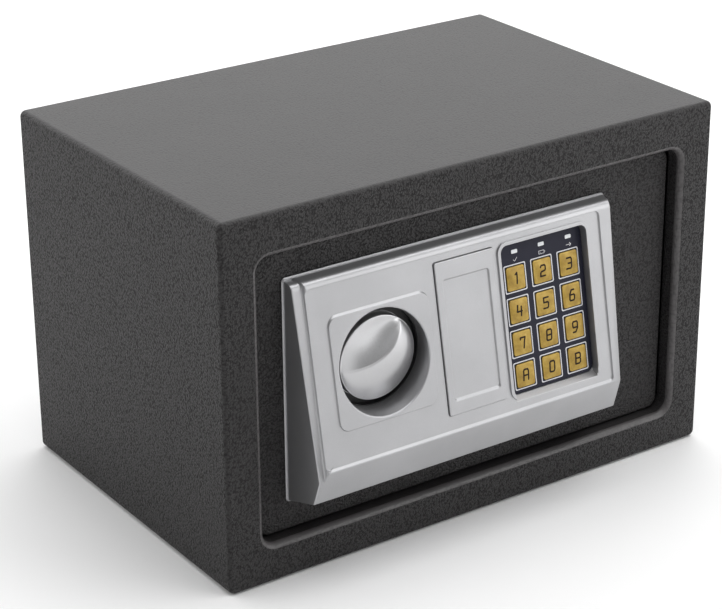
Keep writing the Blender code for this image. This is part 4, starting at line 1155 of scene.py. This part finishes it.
def make_key(name, column, row):
    steps = 30
    half_x, half_v = KEY_SIZE[0] / 2, KEY_SIZE[1] / 2
    base = KEY_TOP - 0.15
    bm = bmesh.new()

    def spread(i, half):
        """Grid places that crowd towards the key's edges."""
        t = 2 * i / steps - 1
        return half * math.copysign(1 - (1 - abs(t)) ** 1.15, t)

    def corner(a, b):
        """Draws the grid's corners in to the key's round corners."""
        da, db = max(0.0, abs(a) - (half_x - KEY_RADIUS)), max(0.0, abs(b) - (half_v - KEY_RADIUS))
        reach = math.hypot(da, db)
        limit = max(da, db)
        if reach < 1e-9:
            return a, b
        scale = limit / reach
        return (math.copysign(abs(a) - da + da * scale, a), math.copysign(abs(b) - db + db * scale, b))

    grid = []
    for i in range(steps + 1):
        line = []
        for j in range(steps + 1):
            a, b = corner(spread(i, half_x), spread(j, half_v))
            line.append(bm.verts.new(face_point(column + a, row + b, base + key_crown(a, b))))
        grid.append(line)
    grid_faces(bm, grid)
    verts, border = extrude(bm, open_edges(bm.edges))
    for vert in verts:
        vert.co -= FACE_OUT * 2.0
    bmesh.ops.contextual_create(bm, geom=border)
    bmesh.ops.recalc_face_normals(bm, faces=bm.faces)
    key = smooth(make_object(f"key_{name}_cap", bm, "gold"), 50)
    keep(key, f"key_{name}", "gold_key", f"key_{name}")

    legend = bmesh.new()
    lift = 0.03

    def top(x, v):
        return base + key_crown(x - column, v - row)

    for line in LEGENDS[name]:
        points = []
        for x, up in line:
            slant = 0.35 * (up - 0.5)
            points.append((column + (x - 0.5) * LEGEND_SIZE[0] + slant, row + (0.5 - up) * LEGEND_SIZE[1]))
        for start, end in zip(points, points[1:]):
            stroke(legend, start, end, LEGEND_STROKE, lift, top)
            lift += 0.002
    keep(make_object(f"key_{name}_legend", legend, "ink"), f"key_{name}", "gold_key")


def make_keypad():
    film = make_object("keypad_film_sheet", face_slab(WINDOW, 4, FILM_TOP - 1.0, FILM_TOP, grow=-0.3), "film")
    cuts, frames = bmesh.new(), bmesh.new()
    for row, names in zip(KEY_ROWS, KEY_NAMES):
        for column, name in zip(KEY_COLUMNS, names):
            key = centred(column, row, KEY_SIZE)
            face_slab(key, KEY_RADIUS, -7, -3, grow=0.35, steps=5, bm=cuts)
            rings = []
            for line, n in ((0.0, 0.02), (0.0, 0.07), (0.6, 0.07), (0.6, 0.02)):
                area = centred(column, row, (KEY_FRAME[0] - 2 * line, KEY_FRAME[1] - 2 * line))
                outline = rounded_outline(area[:2], area[2:], 0.9 - 0.6 * line, 6)
                rings.append([face_point(a, b, FILM_TOP + n) for a, b in outline])
            loft(rings, closed=True, bm=frames)
            make_key(name, column, row)
    for lamp in LAMPS:
        area = centred(middle(lamp, 0), LAMP_V, LAMP_SIZE)
        face_slab(area, 0.5, -7, -3, grow=0.1, steps=4, bm=cuts)
        window = make_object(f"{lamp}_window", face_slab(area, 0.5, -7.9, -4.5), "lamp")
        keep(round_edges(window, 0.15, 2), "door", "lamp_window", lamp)
    cut(film, cuts)
    keep(smooth(film, 30), "door", "keypad_film", "keypad_overlay")
    keep(make_object("key_frames", frames, "silver_ink"), "door", "keypad_film")
    make_lamp_marks()


def make_lamp_marks():
    """A tick, a cell and an arrow, printed small under the three windows."""
    marks = bmesh.new()
    v = LAMP_V + 4.3
    ready, battery, proceed = (middle(lamp, 0) for lamp in LAMPS)
    lines = [((ready - 1.2, v), (ready - 0.3, v + 0.8)), ((ready - 0.3, v + 0.8), (ready + 1.3, v - 0.9))]
    top, foot = v - 0.8, v + 0.8
    cell = [(battery - 1.9, top), (battery + 1.6, top), (battery + 1.6, foot), (battery - 1.9, foot)]
    lines += list(zip(cell, cell[1:] + cell[:1]))
    lines += [((battery + 2.1, v - 0.3), (battery + 2.1, v + 0.3)), ((battery - 1.2, v), (battery - 0.9, v))]
    lines += [((proceed - 1.7, v), (proceed + 1.5, v)), ((proceed + 0.6, v - 0.9), (proceed + 1.6, v))]
    lines.append(((proceed + 1.6, v), (proceed + 0.6, v + 0.9)))
    for i, (start, end) in enumerate(lines):
        stroke(marks, start, end, 0.13, 0.03 + 0.001 * i, lambda x, v: FILM_TOP)
    keep(make_object("lamp_marks", marks, "silver_ink"), "door", "keypad_film")


# Pieces that keep their CAD shape


def dress_cad_nodes():
    finishes = {
        "zinc": ["knob_shaft", "drive_cam", "bolt_carriage", "guide_screw_upper", "guide_screw_lower"],
        "chrome": ["plunger", "solenoid_spring"],
        "copper_winding": ["solenoid_coil"],
        "board": ["control_board", "reset_board"],
        "black": ["battery_lead", "solenoid_lead"],
    }
    finishes["zinc"] += ["solenoid_frame", "cylinder_nut", "override_cam"]
    for material, names in finishes.items():
        for name in names:
            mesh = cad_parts[name].data
            mesh.materials.clear()
            mesh.materials.append(MATERIALS[material])


# Stage


def make_camera():
    az, el, roll = map(math.radians, (CAMERA_AZIMUTH, CAMERA_ELEVATION, CAMERA_ROLL))
    back = Vector((math.sin(az) * math.cos(el), -math.cos(az) * math.cos(el), math.sin(el)))
    across = Vector((0, 0, 1)).cross(back).normalized()
    up = back.cross(across)
    turned_across = across * math.cos(roll) + up * math.sin(roll)
    turned_up = up * math.cos(roll) - across * math.sin(roll)
    camera = bpy.data.cameras.new("camera")
    camera.lens = CAMERA_LENS
    camera.sensor_width = SENSOR
    camera.clip_start = 0.05
    obj = bpy.data.objects.new("camera", camera)
    bpy.context.collection.objects.link(obj)
    turn = Matrix((turned_across, turned_up, back)).transposed().to_4x4()
    obj.matrix_world = Matrix.Translation(CAMERA_PLACE) @ turn
    bpy.context.scene.camera = obj


def add_area_light(name, place, target, size, power):
    light = bpy.data.lights.new(name, "AREA")
    light.shape = "RECTANGLE"
    light.size, light.size_y = size
    light.energy = power
    obj = bpy.data.objects.new(name, light)
    obj.location = place
    obj.rotation_euler = (Vector(target) - Vector(place)).to_track_quat("-Z", "Y").to_euler()
    bpy.context.collection.objects.link(obj)


def make_stage():
    material, tree, shader = new_material("studio_floor")
    tone = noise_value(tree, object_coordinates(tree), 300.0, 2.0)
    set_shader(shader, colour=ramp(tree, tone, [(0.3, 0.90), (0.7, 0.93)]), roughness=0.9, specular=0.1)
    bm = bmesh.new()
    reach = 12000.0
    corners = ((-reach, -reach), (reach, -reach), (reach, reach), (-reach, reach))
    loft([[(x, y, z) for x, y in corners] for z in (-20, -0.5)], bm=bm)
    floor = make_object("studio_floor", bm, "zinc")
    floor.data.materials.clear()
    floor.data.materials.append(material)

    world = bpy.data.worlds.new("studio")
    world.use_nodes = True
    background = world.node_tree.nodes["Background"]
    background.inputs["Color"].default_value = (1.0, 1.0, 1.0, 1.0)
    background.inputs["Strength"].default_value = 0.3
    bpy.context.scene.world = world
    add_area_light("front_right_softbox", (1.05, -1.15, 0.62), (0, 0, 0.1), (1.2, 1.1), 9)
    add_area_light("back_softbox", (0.5, 2.0, 1.2), (0, 0, 0.1), (4.6, 2.0), 45)
    add_area_light("left_softbox", (-1.7, 0.9, 1.2), (-0.3, 0.1, 0), (1.8, 1.4), 11)
    add_area_light("overhead_softbox", (0.6, -0.1, 2.1), (0.5, 0.1, 0), (2.4, 2.4), 44)
    bpy.context.scene.view_settings.view_transform = "Standard"


make_camera()
make_stage()
make_cabinet()
make_floor_mat()
make_hinges()
make_strike()
make_door()
make_lock_cover()
make_battery_bay()
make_reset_button()
make_bolts()
make_case()
make_key_cover()
make_key_cylinder()
make_knob()
make_keypad()
dress_cad_nodes()

bpy.context.view_layer.update()
